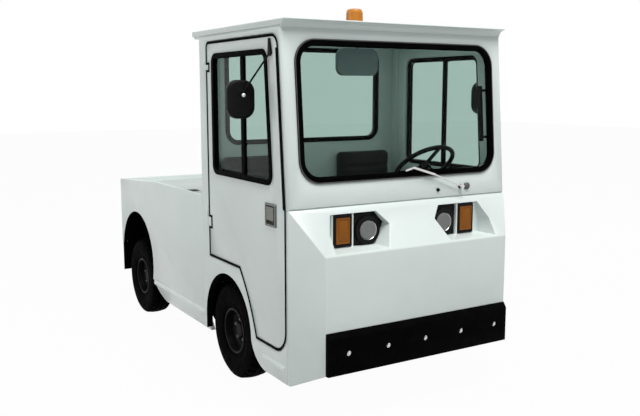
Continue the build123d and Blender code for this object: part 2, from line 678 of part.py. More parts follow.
with BuildPart() as pocket_walls:
    add(nose_block(0))
    pocket_y = (pocket_in + pocket_out) / 2
    with Locations(*[(back(POCKET_BACK + POCKET_WALL), side * pocket_y, SEAM_Z) for side in (1, -1)]):
        Box(
            POCKET_BACK + POCKET_WALL,
            pocket_out - pocket_in + 2 * POCKET_WALL,
            SEAM_Z - pocket_low + POCKET_WALL,
            align=(Align.MIN, Align.CENTER, Align.MAX),
            mode=Mode.INTERSECT,
        )
with BuildPart() as nose_panel:
    add(nose_block(0))
    add(nose_block(SKIN), mode=Mode.SUBTRACT)
    add(pocket_walls.part)
    for side in (1, -1):
        with BuildSketch(Plane.YZ.offset(back(POCKET_BACK))):
            with BuildLine():
                Polyline(*[(side * y, z) for y, z in pocket_points], close=True)
            make_face()
            sleeve_y = INDICATOR[2] / 2 + SLEEVE_WALL / 2 + FIT
            with Locations(*[(side * INDICATOR[0] + end * sleeve_y, pocket_low) for end in (1, -1)]):
                Rectangle(
                    SLEEVE_WALL,
                    pocket_high - pocket_low,
                    align=(Align.CENTER, Align.MIN),
                    mode=Mode.SUBTRACT,
                )
        extrude(amount=LAMP_DEPTH, mode=Mode.SUBTRACT)
        with BuildSketch(Plane.YZ.offset(back(POCKET_BACK) + LAMP_DEPTH)):
            with BuildLine():
                Polyline(*[(side * y, z) for y, z in pocket_points], close=True)
            make_face()
        extrude(amount=POCKET_BACK, mode=Mode.SUBTRACT)
save(nose_panel, "nose_panel")

# Rubber bumper across the nose face, its top edge bevelled, with sunk wells for its bolts
BUMPER_BOLTS = (-487, -232, 21, 278, 532)
BUMPER_BOLT_Z = 385
WELL_R, WELL_DEPTH = 16, 8
with BuildPart() as front_bumper:
    with BuildSketch(Plane.XZ.offset(-face_half)):
        with BuildLine():
            Polyline(
                (NOSE_X, BUMPER_Z), (NOSE_X + BUMPER_THICK, BUMPER_Z),
                (NOSE_X + BUMPER_THICK, BUMPER_TOP_Z - 30), (NOSE_X + 4, BUMPER_TOP_Z),
                (NOSE_X, BUMPER_TOP_Z), close=True,
            )
        make_face()
    extrude(amount=2 * face_half)
    with BuildSketch(Plane.YZ.offset(NOSE_X + BUMPER_THICK - WELL_DEPTH)):
        with Locations(*[(y, BUMPER_BOLT_Z) for y in BUMPER_BOLTS]):
            Circle(WELL_R)
    extrude(amount=WELL_DEPTH, mode=Mode.SUBTRACT)
save(front_bumper, "front_bumper")

# Lamps in the pockets: black frames and backing, round headlamp lenses inboard, amber indicators outboard
HEADLAMP_RING, INDICATOR_RING = 25, 16
BACKING = 3
with BuildPart() as lamp_frames:
    for side in (1, -1):
        with BuildSketch(Plane.YZ.offset(back(POCKET_BACK))):
            with BuildLine():
                Polyline(*[(side * y, z) for y, z in pocket_points], close=True)
            make_face()
            sleeve_in = INDICATOR[0] - INDICATOR[2] / 2 - SLEEVE_WALL - FIT
            with Locations((side * sleeve_in, pocket_low)):
                Rectangle(
                    pocket_out,
                    pocket_high,
                    align=(Align.MIN if side > 0 else Align.MAX, Align.MIN),
                    mode=Mode.SUBTRACT,
                )
            offset(amount=-2 * FIT, kind=Kind.INTERSECTION, mode=Mode.REPLACE)
        extrude(amount=BACKING)
        with BuildSketch(Plane.YZ.offset(back(POCKET_BACK))):
            with Locations((side * HEADLAMP[0], HEADLAMP[1])):
                Circle(HEADLAMP[2])
            with Locations((side * INDICATOR[0], INDICATOR[1])):
                RectangleRounded(INDICATOR[2], INDICATOR[3], 8)
        extrude(amount=LAMP_DEPTH)
        with BuildSketch(Plane.YZ.offset(back(POCKET_BACK) + 2 * BACKING)):
            with Locations((side * HEADLAMP[0], HEADLAMP[1])):
                Circle(HEADLAMP[2] - HEADLAMP_RING)
            with Locations((side * INDICATOR[0], INDICATOR[1])):
                RectangleRounded(INDICATOR[2] - 2 * INDICATOR_RING, INDICATOR[3] - 2 * INDICATOR_RING, 5)
        extrude(amount=LAMP_DEPTH, mode=Mode.SUBTRACT)
save(lamp_frames, "lamp_frames")
with BuildPart() as headlamp_lenses:
    for side in (1, -1):
        with BuildSketch(Plane.YZ.offset(back(POCKET_BACK) + 2 * BACKING)):
            with Locations((side * HEADLAMP[0], HEADLAMP[1])):
                Circle(HEADLAMP[2] - HEADLAMP_RING - FIT)
        extrude(amount=LAMP_DEPTH)
save(headlamp_lenses, "headlamp_lenses")
with BuildPart() as indicator_lenses:
    lens_inset = 2 * (INDICATOR_RING + FIT)
    for side in (1, -1):
        with BuildSketch(Plane.YZ.offset(back(POCKET_BACK) + 2 * BACKING)):
            with Locations((side * INDICATOR[0], INDICATOR[1])):
                RectangleRounded(INDICATOR[2] - lens_inset, INDICATOR[3] - lens_inset, 5)
        extrude(amount=LAMP_DEPTH)
save(indicator_lenses, "indicator_lenses")

# Cab front with the windscreen opening, softened corner edges and a groove along the seam with the nose
CORNER_R = 14
SLOPE_SCALE = sqrt(1 + CAB_RAKE**2)
screen_height = (SCREEN_TOP_Z - SCREEN_Z) * SLOPE_SCALE
screen_middle = ((SCREEN_TOP_Z + SCREEN_Z) / 2 - SEAM_Z) * SLOPE_SCALE
with BuildPart() as cab_front:
    with BuildSketch(Plane.XZ.offset(-HALF)):
        with BuildLine():
            Polyline(
                (back(CAB_FRONT + SEAM_GROOVE[1]), SEAM_Z), (back(CAB_FRONT + PILLAR_DEPTH), SEAM_Z),
                (raked(CAB_FRONT + PILLAR_DEPTH, EAVES_Z), EAVES_Z), (raked(CAB_FRONT, EAVES_Z), EAVES_Z),
                (raked(CAB_FRONT, SEAM_Z + SEAM_GROOVE[0]), SEAM_Z + SEAM_GROOVE[0]),
                (back(CAB_FRONT + SEAM_GROOVE[1]), SEAM_Z + SEAM_GROOVE[0]), close=True,
            )
        make_face()
    extrude(amount=BODY_WIDTH)
    upright = cab_front.edges().filter_by(lambda edge: edge.bounding_box().size.Z > (EAVES_Z - SEAM_Z) / 2)
    fillet(upright.group_by(Axis.X)[-1], CORNER_R)
    with BuildSketch(SCREEN_PLANE.offset(-100)):
        with Locations((0, screen_middle)):
            RectangleRounded(SCREEN_WIDTH, screen_height, SCREEN_R)
    extrude(amount=200, mode=Mode.SUBTRACT)
save(cab_front, "cab_front")

# Windscreen seal and glass
with BuildPart() as windscreen_seal:
    with BuildSketch(SCREEN_PLANE.offset(-PILLAR_DEPTH)):
        with Locations((0, screen_middle)):
            RectangleRounded(SCREEN_WIDTH - 2 * FIT, screen_height - 2 * FIT, SCREEN_R - FIT)
            RectangleRounded(
                SCREEN_WIDTH - 2 * SCREEN_SEAL,
                screen_height - 2 * SCREEN_SEAL,
                SCREEN_R - SCREEN_SEAL,
                mode=Mode.SUBTRACT,
            )
    extrude(amount=PILLAR_DEPTH + SEAL_PROUD)
save(windscreen_seal, "windscreen_seal")
with BuildPart() as windscreen:
    inset = 2 * (SCREEN_SEAL + FIT)
    with BuildSketch(SCREEN_PLANE.offset(-(PILLAR_DEPTH + GLASS) / 2)):
        with Locations((0, screen_middle)):
            RectangleRounded(SCREEN_WIDTH - inset, screen_height - inset, SCREEN_R - SCREEN_SEAL - FIT)
    extrude(amount=GLASS)
save(windscreen, "windscreen")

# Cab rear wall with its window
REAR_WALL_Z = 520
REAR_WALL = 30
window_z = (REAR_WINDOW_Z + REAR_WINDOW_TOP_Z) / 2
window_height = REAR_WINDOW_TOP_Z - REAR_WINDOW_Z
wall_half = HALF - DOOR_THICK
with BuildPart() as cab_rear:
    with BuildSketch(Plane.YZ.offset(back(CAB_REAR))):
        with Locations((0, (REAR_WALL_Z + EAVES_Z) / 2)):
            Rectangle(2 * wall_half, EAVES_Z - REAR_WALL_Z)
        with Locations((0, window_z)):
            RectangleRounded(REAR_WINDOW_WIDTH, window_height, REAR_WINDOW_R, mode=Mode.SUBTRACT)
    extrude(amount=REAR_WALL)
save(cab_rear, "cab_rear")
with BuildPart() as rear_window_seal:
    with BuildSketch(Plane.YZ.offset(back(CAB_REAR) - SEAL_PROUD)):
        with Locations((0, window_z)):
            RectangleRounded(REAR_WINDOW_WIDTH - 2 * FIT, window_height - 2 * FIT, REAR_WINDOW_R - FIT)
            RectangleRounded(
                REAR_WINDOW_WIDTH - 2 * SEAL,
                window_height - 2 * SEAL,
                REAR_WINDOW_R - SEAL,
                mode=Mode.SUBTRACT,
            )
    extrude(amount=REAR_WALL + 2 * SEAL_PROUD)
save(rear_window_seal, "rear_window_seal")
with BuildPart() as rear_window:
    inset = 2 * (SEAL + FIT)
    with BuildSketch(Plane.YZ.offset(back(CAB_REAR) + (REAR_WALL - GLASS) / 2)):
        with Locations((0, window_z)):
            RectangleRounded(REAR_WINDOW_WIDTH - inset, window_height - inset, REAR_WINDOW_R - SEAL - FIT)
    extrude(amount=GLASS)
save(rear_window, "rear_window")

# Roof: flat panel that flares over the windscreen in a cove, with a gutter sunk under each side fascia
ROOF_EDGE, COVE_R = 8, 47
ROOF_INSET = 3
GUTTER_Z, GUTTER_DEPTH = 2073, 14
eaves_front = CAB_FRONT + CAB_RAKE * (EAVES_Z - SEAM_Z)
with BuildPart() as roof:
    with BuildSketch(Plane.XZ.offset(-HALF + ROOF_INSET)):
        with BuildLine():
            cove = RadiusArc((back(ROOF_FRONT), ROOF_Z - ROOF_EDGE), (back(eaves_front), EAVES_Z), -COVE_R)
            Polyline(
                cove @ 1, (back(ROOF_REAR), EAVES_Z), (back(ROOF_REAR), ROOF_Z), (back(ROOF_FRONT), ROOF_Z),
                cove @ 0,
            )
        make_face()
    extrude(amount=BODY_WIDTH - 2 * ROOF_INSET)
    fillet(roof.edges().group_by(Axis.Z)[-1], ROOF_EDGE * 0.6)
    gutter_front = eaves_front + DOOR_GAP
    with Locations(*[(back(gutter_front), side * (HALF - ROOF_INSET), GUTTER_Z) for side in (1, -1)]):
        Box(
            ROOF_REAR - gutter_front,
            2 * GUTTER_DEPTH,
            GUTTER_Z - EAVES_Z,
            align=(Align.MAX, Align.CENTER, Align.MAX),
            mode=Mode.SUBTRACT,
        )
save(roof, "roof")

# Beacon on the roof
BEACON = (682, 60, 52, 34)
with BuildPart() as beacon_base:
    with Locations((back(BEACON[0]), 0, ROOF_Z)):
        Cylinder(BEACON[1], BEACON[3], align=(Align.CENTER, Align.CENTER, Align.MIN))
    fillet(beacon_base.edges().group_by(Axis.Z)[-1], 5)
save(beacon_base, "beacon_base")
with BuildPart() as beacon_lens:
    with Locations((back(BEACON[0]), 0, ROOF_Z + BEACON[3])):
        Cylinder(BEACON[2], BEACON_Z - ROOF_Z - BEACON[3], align=(Align.CENTER, Align.CENTER, Align.MIN))
    fillet(beacon_lens.edges().group_by(Axis.Z)[-1], 16)
save(beacon_lens, "beacon_lens")

# Wiper: pivot, cranked arm and the blade parked along the foot of the windscreen.
# Arm table of start, end, width, stand-off and thickness; places are half-width positions and heights
WIPER_PIVOT, WIPER_KNEE, WIPER_ELBOW, WIPER_TIP = (399, 1190), (197, 1270), (50, 1315), (-3, 1302)
BLADE_LENGTH, BLADE_WIDTH, BLADE_THICK = 400, 12, 12
ARM_PIECES = (
    (WIPER_PIVOT, WIPER_KNEE, 7, 20, 7),
    (WIPER_KNEE, WIPER_ELBOW, 12, 18, 9),
    (WIPER_ELBOW, WIPER_TIP, 10, 16, 9),
)


def on_screen(place):
    """A place on the screen's plane, from its Y and its height."""
    return Vector(place[0], (place[1] - SEAM_Z) * SLOPE_SCALE)


with BuildPart() as wiper:
    with BuildSketch(SCREEN_PLANE):
        with Locations(on_screen(WIPER_PIVOT)):
            Circle(12)
    extrude(amount=30)
    for start, end, width, stand_off, thick in ARM_PIECES:
        run = on_screen(end) - on_screen(start)
        with BuildSketch(SCREEN_PLANE.offset(stand_off)):
            with Locations(Location((on_screen(start) + on_screen(end)) * 0.5, degrees(atan2(run.Y, run.X)))):
                SlotOverall(run.length + width, width)
        extrude(amount=thick)
    with BuildSketch(SCREEN_PLANE.offset(SEAL_PROUD + FIT)):
        with Locations(on_screen(WIPER_TIP) + Vector(BLADE_LENGTH * 0.4, -6)):
            Rectangle(BLADE_LENGTH, BLADE_WIDTH)
    extrude(amount=BLADE_THICK)
save(wiper, "wiper")

# Cab floor: low foot well, riser and raised seat box that clears the front wheels
with BuildPart() as cab_floor:
    with BuildSketch(Plane.XZ.offset(-wall_half + DOOR_GAP)):
        with BuildLine():
            Polyline(
                side_points(
                    (DOOR_FRONT, FLOOR_Z - FLOOR_THICK), (DOOR_FRONT, FLOOR_Z), (SEAT_BOX_FRONT, FLOOR_Z),
                    (SEAT_BOX_FRONT, SEAT_BOX_Z), (CAB_REAR - REAR_WALL, SEAT_BOX_Z),
                    (CAB_REAR - REAR_WALL, SEAT_BOX_Z - FLOOR_THICK),
                    (SEAT_BOX_FRONT + FLOOR_THICK, SEAT_BOX_Z - FLOOR_THICK),
                    (SEAT_BOX_FRONT + FLOOR_THICK, FLOOR_Z - FLOOR_THICK),
                ),
                close=True,
            )
        make_face()
    extrude(amount=2 * (wall_half - DOOR_GAP))
    with Locations((back(SKIN + DOOR_GAP), 0, FLOOR_Z)):
        Box(
            CAB_FRONT + PILLAR_DEPTH + DOOR_GAP - SKIN,
            BODY_WIDTH - 2 * TOE_BOARD_GAP,
            FLOOR_THICK,
            align=(Align.MAX, Align.CENTER, Align.MAX),
        )
save(cab_floor, "cab_floor")

# Dashboard across the cab with the instrument hood in front of the driver, bored for the steering column
DASH_TOP, DASH_LIP, DASH_FOOT = 59, 34, 131
DASH_DEPTH = 228
BINNACLE = (360, 80, 58, 188)
COLUMN_R = 24
with BuildPart() as dashboard:
    dash_front = CAB_FRONT + PILLAR_DEPTH
    dash_rear = dash_front + DASH_DEPTH
    dash_half = wall_half - 2 * DOOR_GAP
    with BuildSketch(Plane.XZ.offset(-dash_half)):
        with BuildLine():
            Polyline(
                (back(dash_front + DOOR_GAP), SEAM_Z - DASH_FOOT), (back(dash_front + DOOR_GAP), SEAM_Z),
                (back(dash_front), SEAM_Z), (raked(dash_front, SEAM_Z + DASH_TOP), SEAM_Z + DASH_TOP),
                (back(dash_rear - 30), SEAM_Z + DASH_LIP), (back(dash_rear), SEAM_Z - 11),
                (back(dash_rear - 40), SEAM_Z - DASH_FOOT + 10),
                (back(dash_front + DASH_DEPTH / 2), SEAM_Z - DASH_FOOT), close=True,
            )
        make_face()
    extrude(amount=2 * dash_half)
    with BuildSketch(Plane.XZ.offset(-WHEEL_CENTRE[1] - BINNACLE[0] / 2)):
        with BuildLine():
            hood_front, hood_rear = dash_front + BINNACLE[2], dash_front + BINNACLE[3]
            hood_z = SEAM_Z + DASH_TOP + BINNACLE[1]
            Polyline(
                (back(hood_front), SEAM_Z + DASH_LIP), (back(hood_front + 20), hood_z),
                (back(hood_rear - 15), hood_z - 12), (back(hood_rear), SEAM_Z + DASH_LIP - 5), close=True,
            )
        make_face()
    extrude(amount=BINNACLE[0])
    hood_top = dashboard.faces().sort_by(Axis.Z)[-1]
    fillet(hood_top.edges().filter_by(Axis.X, tolerance=10), BINNACLE[1] / 3)
    with BuildSketch(COLUMN_PLANE):
        Circle(COLUMN_R + FIT)
    extrude(amount=-330, mode=Mode.SUBTRACT)
save(dashboard, "dashboard")

# Steering column in the dashboard, and the wheel on its shaft
with BuildPart() as steering_column:
    with BuildSketch(COLUMN_PLANE.offset(-30)):
        Circle(COLUMN_R)
    extrude(amount=-300)
    with BuildSketch(COLUMN_PLANE.offset(-31)):
        Circle(9)
    extrude(amount=30)
save(steering_column, "steering_column")
with BuildPart() as steering_wheel:
    with BuildSketch(Plane(COLUMN_PLANE.origin, x_dir=COLUMN_PLANE.x_dir, z_dir=COLUMN_PLANE.y_dir)):
        with Locations((STEERING_R, 0)):
            Circle(14)
    revolve(axis=Axis(COLUMN_PLANE.origin, COLUMN_PLANE.z_dir))
    with BuildSketch(COLUMN_PLANE.offset(-26)):
        Circle(36)
    extrude(amount=34)
    with BuildSketch(COLUMN_PLANE.offset(-7)):
        with PolarLocations(STEERING_R / 2, 3, start_angle=-90):
            Rectangle(STEERING_R, 26)
    extrude(amount=10)
    with BuildSketch(COLUMN_PLANE.offset(-40)):
        Circle(9 + FIT)
    extrude(amount=40, mode=Mode.SUBTRACT)
save(steering_wheel, "steering_wheel")

# Two seats: cushions on the seat box and backs against the rear wall
SEAT = (450, 450, 150)
SEAT_BACK = (450, 100, 500)
seat_rear = CAB_REAR - REAR_WALL - FIT
with BuildPart() as seat_cushions:
    cushion_rear = back(seat_rear - SEAT_BACK[1] / 2)
    with Locations(*[(cushion_rear, side * SEAT_Y, SEAT_BOX_Z + FIT) for side in (1, -1)]):
        Box(SEAT[1], SEAT[0], SEAT[2], align=(Align.MIN, Align.CENTER, Align.MIN))
    fillet(seat_cushions.edges().filter_by(Axis.Z), 50)
    fillet(seat_cushions.edges().group_by(Axis.Z)[-1], 30)
save(seat_cushions, "seat_cushions")
with BuildPart() as seat_backs:
    with Locations(*[(back(seat_rear), side * SEAT_Y, SEAT_BOX_Z + SEAT[2] + 2 * FIT) for side in (1, -1)]):
        Box(SEAT_BACK[1], SEAT_BACK[0], SEAT_BACK[2], align=(Align.MIN, Align.CENTER, Align.MIN))
    fillet(seat_backs.edges().filter_by(Axis.X), 60)
    fillet(seat_backs.edges().group_by(Axis.X)[-1], 30)
save(seat_backs, "seat_backs")

# Inside mirror hung from the roof
CAB_MIRROR = (332, -206, 1898)
with BuildPart() as cab_mirror:
    mirror_origin = (back(CAB_MIRROR[0]), CAB_MIRROR[1], CAB_MIRROR[2])
    with BuildSketch(Plane(origin=mirror_origin, x_dir=(0, 1, 0), z_dir=(-1, 0, 0))):
        RectangleRounded(262, 148, 45)
    extrude(amount=30)
    with BuildSketch(Plane.XY.offset(CAB_MIRROR[2] + 40)):
        with Locations((back(CAB_MIRROR[0] + 12), CAB_MIRROR[1])):
            Circle(8)
    extrude(amount=EAVES_Z - CAB_MIRROR[2] - 40)
save(cab_mirror, "cab_mirror")

# Grab handle behind the left windscreen pillar: a grip bar on two stand-offs with feet on the pillar
GRAB_Y, GRAB_LOW, GRAB_HIGH, GRAB_R, GRAB_STAND_OFF = HALF - 95, 1440, 1770, 13, 55
FOOT_Y, FOOT = HALF - 57, (24, 60, 10)
with BuildPart() as grab_handle:
    grab_back = CAB_FRONT + PILLAR_DEPTH + GRAB_STAND_OFF
    low_end = Vector(raked(grab_back, GRAB_LOW), GRAB_Y, GRAB_LOW)
    high_end = Vector(raked(grab_back, GRAB_HIGH), GRAB_Y, GRAB_HIGH)
    with BuildSketch(Plane(origin=low_end, z_dir=high_end - low_end)):
        Circle(GRAB_R)
    extrude(amount=(high_end - low_end).length)
    for z in (GRAB_LOW + 2 * GRAB_R, GRAB_HIGH - 2 * GRAB_R):
        with BuildSketch(SCREEN_PLANE.offset(-PILLAR_DEPTH - FIT)):
            with Locations(on_screen((FOOT_Y, z))):
                RectangleRounded(FOOT[0], FOOT[1], FOOT[0] / 3)
        extrude(amount=-FOOT[2])
        bar_point = Vector(raked(grab_back, z), GRAB_Y, z)
        foot_point = Vector(raked(CAB_FRONT + PILLAR_DEPTH, z) - FOOT[2] * 0.8, FOOT_Y, z)
        with BuildSketch(Plane(origin=bar_point, z_dir=foot_point - bar_point)):
            Circle(GRAB_R * 0.6)
        extrude(amount=(foot_point - bar_point).length)
save(grab_handle, "grab_handle")

# Wheel liners: inner and rear wall of each front wheel house, and an open box over each rear wheel
LINER, LINER_Y = 6, 334
LINER_RUN, LINER_TAIL, HOUSE_RUN = 397, 333, 389
HOUSE_Z, HOUSE_TOP_Z, HOUSE_FOLD = 240, 510, 60
BOX_RUN, BOX_INSET, BOX_Z, BOX_TOP_Z = 357, 212, 360, 814
with BuildPart() as wheel_liners:
    liner_out = HALF - SIDE_SKIN - FIT
    wall_top = SEAT_BOX_Z - FLOOR_THICK - FIT
    for side in (1, -1):
        with Locations((back(FRONT_AXLE + (LINER_TAIL - LINER_RUN) / 2), side * (LINER_Y + LINER / 2), RAIL_Z)):
            Box(LINER_RUN + LINER_TAIL, LINER, wall_top - RAIL_Z, align=(Align.CENTER, Align.CENTER, Align.MIN))
        with BuildSketch(Plane.YZ.offset(back(FRONT_AXLE + HOUSE_RUN))):
            with BuildLine():
                Polyline(
                    (side * LINER_Y, HOUSE_Z), (side * (liner_out - HOUSE_FOLD), HOUSE_Z),
                    (side * liner_out, CREASE_Z + 4), (side * liner_out, HOUSE_TOP_Z),
                    (side * LINER_Y, HOUSE_TOP_Z), close=True,
                )
            make_face()
        extrude(amount=-LINER)
        box_in = HALF - BOX_INSET
        with Locations((back(REAR_AXLE), side * (box_in + liner_out) / 2, BOX_Z)):
            Box(2 * BOX_RUN, liner_out - box_in, BOX_TOP_Z - BOX_Z, align=(Align.CENTER, Align.CENTER, Align.MIN))
        with Locations((back(REAR_AXLE), side * ((box_in + liner_out) / 2 + LINER), BOX_Z - LINER)):
            Box(
                2 * (BOX_RUN - LINER), liner_out - box_in, BOX_TOP_Z - BOX_Z,
                align=(Align.CENTER, Align.CENTER, Align.MIN), mode=Mode.SUBTRACT,
            )
save(wheel_liners, "wheel_liners")

# Tow hitch on the rear plate: two jaws with a bore for the towing pin
HITCH_Z, HITCH_WIDTH, HITCH_BORE_R, HITCH_GAP = 400, 90, 20, 60
with BuildPart() as tow_hitch:
    with Locations((REAR_X, 0, HITCH_Z)):
        Box(20, 200, 170, align=(Align.MAX, Align.CENTER, Align.CENTER))
    for z in (HITCH_GAP / 2, -HITCH_GAP / 2 - 24):
        with BuildSketch(Plane.XY.offset(HITCH_Z + z)):
            with Locations((REAR_X, 0)):
                Rectangle(HITCH_REACH - HITCH_WIDTH / 2, HITCH_WIDTH, align=(Align.MAX, Align.CENTER))
            with Locations((REAR_X - HITCH_REACH + HITCH_WIDTH / 2, 0)):
                Circle(HITCH_WIDTH / 2)
        extrude(amount=24)
    with Locations((REAR_X - HITCH_REACH + HITCH_WIDTH / 2, 0, HITCH_Z)):
        Cylinder(HITCH_BORE_R, 400, mode=Mode.SUBTRACT)
save(tow_hitch, "tow_hitch")

# Rubber flaps behind the rear wheels, and the tail lamps on the rear panel
with BuildPart() as mud_flaps:
    with Locations(*[(REAR_X + 6, side * (HALF - 95), TAIL_Z) for side in (1, -1)]):
        Box(8, 180, TAIL_Z - 276, align=(Align.CENTER, Align.CENTER, Align.MAX))
save(mud_flaps, "mud_flaps")
TAIL_LAMP_INSET, TAIL_LAMP_Z = 145, 880
with BuildPart() as tail_lamps:
    with Locations(*[(REAR_X, side * (HALF - TAIL_LAMP_INSET), TAIL_LAMP_Z) for side in (1, -1)]):
        Box(24, 110, 200, align=(Align.MAX, Align.CENTER, Align.CENTER))
    fillet(tail_lamps.edges().group_by(Axis.X)[0], 6)
save(tail_lamps, "tail_lamps")
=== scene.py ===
# %% [markdown]
# # Electric aircraft tow tractor
# The tractor tows aircraft and baggage on an airfield. It has a closed cab with two seats over the front
# axle and a flat deck over its battery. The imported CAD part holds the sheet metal, the axles and the wheels
# at their true places, so it is loaded first and never moved. This lesson adds the finishes and the rubber,
# glass, lamp and trim details that a step away from the real one would show.

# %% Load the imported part
import json
from math import atan2, cos, radians, sin, tau

import bpy
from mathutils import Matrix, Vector

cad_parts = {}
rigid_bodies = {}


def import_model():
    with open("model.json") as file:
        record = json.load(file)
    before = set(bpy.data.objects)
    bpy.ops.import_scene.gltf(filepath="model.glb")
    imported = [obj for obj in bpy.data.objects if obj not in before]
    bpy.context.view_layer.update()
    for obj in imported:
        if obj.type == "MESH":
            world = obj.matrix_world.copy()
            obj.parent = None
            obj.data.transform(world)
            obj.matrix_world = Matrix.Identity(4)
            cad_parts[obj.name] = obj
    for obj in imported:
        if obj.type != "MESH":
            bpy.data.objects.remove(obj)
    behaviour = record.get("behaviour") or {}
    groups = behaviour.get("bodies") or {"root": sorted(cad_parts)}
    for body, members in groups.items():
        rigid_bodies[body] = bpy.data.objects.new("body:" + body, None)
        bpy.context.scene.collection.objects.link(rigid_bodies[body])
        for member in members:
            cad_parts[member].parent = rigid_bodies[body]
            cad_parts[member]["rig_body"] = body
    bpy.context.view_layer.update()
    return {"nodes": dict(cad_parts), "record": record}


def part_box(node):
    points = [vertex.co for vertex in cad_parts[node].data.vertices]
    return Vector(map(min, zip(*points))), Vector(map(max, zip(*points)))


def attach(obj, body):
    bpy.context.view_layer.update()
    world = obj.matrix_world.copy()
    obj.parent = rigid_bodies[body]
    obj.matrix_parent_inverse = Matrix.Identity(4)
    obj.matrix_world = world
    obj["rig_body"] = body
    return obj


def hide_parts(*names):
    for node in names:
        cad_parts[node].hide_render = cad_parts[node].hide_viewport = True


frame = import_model()

# %% [markdown]
# ## Camera
# The photograph was taken from the right-hand front, at about chest height. A camera found by hand would
# be close, but lining up edges of known length gives its place and lens directly, so those are typed here.

# %% Camera at the photograph's place
CAMERA_PLACE = (4.8695, -2.6692, 1.7414)
CAMERA_TILT, CAMERA_HEADING = 81.5516, 58.8112
CAMERA_LENS = 44.358

camera = bpy.data.objects.new("photo_camera", bpy.data.cameras.new("photo_camera"))
camera.location = CAMERA_PLACE
camera.rotation_euler = (radians(CAMERA_TILT), 0, radians(CAMERA_HEADING))
camera.data.lens = CAMERA_LENS
camera.data.sensor_width = 36
bpy.context.scene.collection.objects.link(camera)
bpy.context.scene.camera = camera
bpy.context.scene.view_settings.view_transform = "Standard"
print("camera", CAMERA_PLACE, "lens", CAMERA_LENS)

# %% [markdown]
# ## Floor and studio light
# White paint needs soft light with some direction in it, or its folds disappear. A wide lamp high in front
# makes the sloped hood brighter than the walls without bleaching the roof, and the pale surroundings fill the
# rest. The world answers camera, glossy and transmission rays with plain white, so that glass and metal show
# the same background.

# %% World that is white where it is seen
FILL_STRENGTH = 0.27
FILL_COLOUR = (0.94, 0.98, 1.0, 1)


def seen_directly(nodes, links):
    """1 where a ray comes from the camera, a gloss or glass, and 0 where it lights a surface."""
    path = nodes.new("ShaderNodeLightPath")
    result = path.outputs["Is Camera Ray"]
    for name in ("Is Glossy Ray", "Is Transmission Ray"):
        larger = nodes.new("ShaderNodeMath")
        larger.operation = "MAXIMUM"
        links.new(result, larger.inputs[0])
        links.new(path.outputs[name], larger.inputs[1])
        result = larger.outputs[0]
    return result


world = bpy.data.worlds.new("studio")
bpy.context.scene.world = world
world.use_nodes = True
world_nodes, world_links = world.node_tree.nodes, world.node_tree.links
fill = world_nodes["Background"]
fill.inputs["Color"].default_value = FILL_COLOUR
fill.inputs["Strength"].default_value = FILL_STRENGTH
backdrop = world_nodes.new("ShaderNodeBackground")
backdrop.inputs["Color"].default_value = (1, 1, 1, 1)
either = world_nodes.new("ShaderNodeMixShader")
world_links.new(seen_directly(world_nodes, world_links), either.inputs[0])
world_links.new(fill.outputs[0], either.inputs[1])
world_links.new(backdrop.outputs[0], either.inputs[2])
world_links.new(either.outputs[0], world_nodes["World Output"].inputs["Surface"])
print("world fill", FILL_STRENGTH)

# %% Floor
FLOOR_SIZE, FLOOR_DROP = 60, 0.002
FLOOR_GREY, FLOOR_ROUGH = (0.5, 0.5, 0.5, 1), 0.9
FLOOR_LIFT = 0.97

bpy.ops.object.select_all(action="DESELECT")
bpy.ops.mesh.primitive_plane_add(size=FLOOR_SIZE, location=(0, 0, -FLOOR_DROP))
floor = bpy.context.active_object
floor.name = "studio_floor"
floor_paint = bpy.data.materials.new("studio_floor")
floor_paint.use_nodes = True
floor_nodes, floor_links = floor_paint.node_tree.nodes, floor_paint.node_tree.links
floor_shader = floor_nodes["Principled BSDF"]
floor_shader.inputs["Roughness"].default_value = FLOOR_ROUGH
floor_shader.inputs["Base Color"].default_value = FLOOR_GREY
floor_glow = floor_nodes.new("ShaderNodeEmission")
floor_lift = floor_nodes.new("ShaderNodeMath")
floor_lift.operation = "MULTIPLY"
floor_lift.inputs[1].default_value = FLOOR_LIFT
floor_either = floor_nodes.new("ShaderNodeMixShader")
floor_links.new(seen_directly(floor_nodes, floor_links), floor_lift.inputs[0])
floor_links.new(floor_lift.outputs[0], floor_either.inputs[0])
floor_links.new(floor_shader.outputs[0], floor_either.inputs[1])
floor_links.new(floor_glow.outputs[0], floor_either.inputs[2])
floor_links.new(floor_either.outputs[0], floor_nodes["Material Output"].inputs["Surface"])
floor.data.materials.append(floor_paint)
print("floor", FLOOR_SIZE, "m wide")

# %% Lamps
# name, place, aim, width, power in watts
LAMPS = (
    ("main_panel", (6.0, -0.6, 12.0), (0.8, 0.0, 1.0), 6.5, 1450),
    ("side_panel", (-1.0, -7.0, 3.2), (0.0, 0.0, 1.0), 3.5, 75),
    ("far_panel", (-1.0, 7.0, 3.2), (0.0, 0.0, 1.0), 3.5, 45),
    ("sill_panel", (-0.6, -2.6, 0.05), (-0.5, -0.7, 0.35), 1.2, 5),
    ("cab_panel", (0.85, 0.0, 2.03), (0.8, 0.0, 1.0), 0.9, 1.0),
)
for lamp_name, place, aim, width, power in LAMPS:
    lamp = bpy.data.lights.new(lamp_name, "AREA")
    lamp.size = width
    lamp.energy = power
    stand = bpy.data.objects.new(lamp_name, lamp)
    stand.location = place
    stand.rotation_euler = (Vector(aim) - Vector(place)).to_track_quat("-Z", "Y").to_euler()
    stand.visible_camera = False
    bpy.context.scene.collection.objects.link(stand)
print("lamps", len(LAMPS))

# %% [markdown]
# ## Shared effects
# Paint, rubber and plastic are never one even colour. Three effects come back in many finishes, so each is a
# node group: a film of paint with a faint mottle and orange peel, the grain of a moulded surface, and the
# grey film that road dust leaves near the ground. Every one reads Object coordinates, so that a pattern
# keeps its real size on every piece.


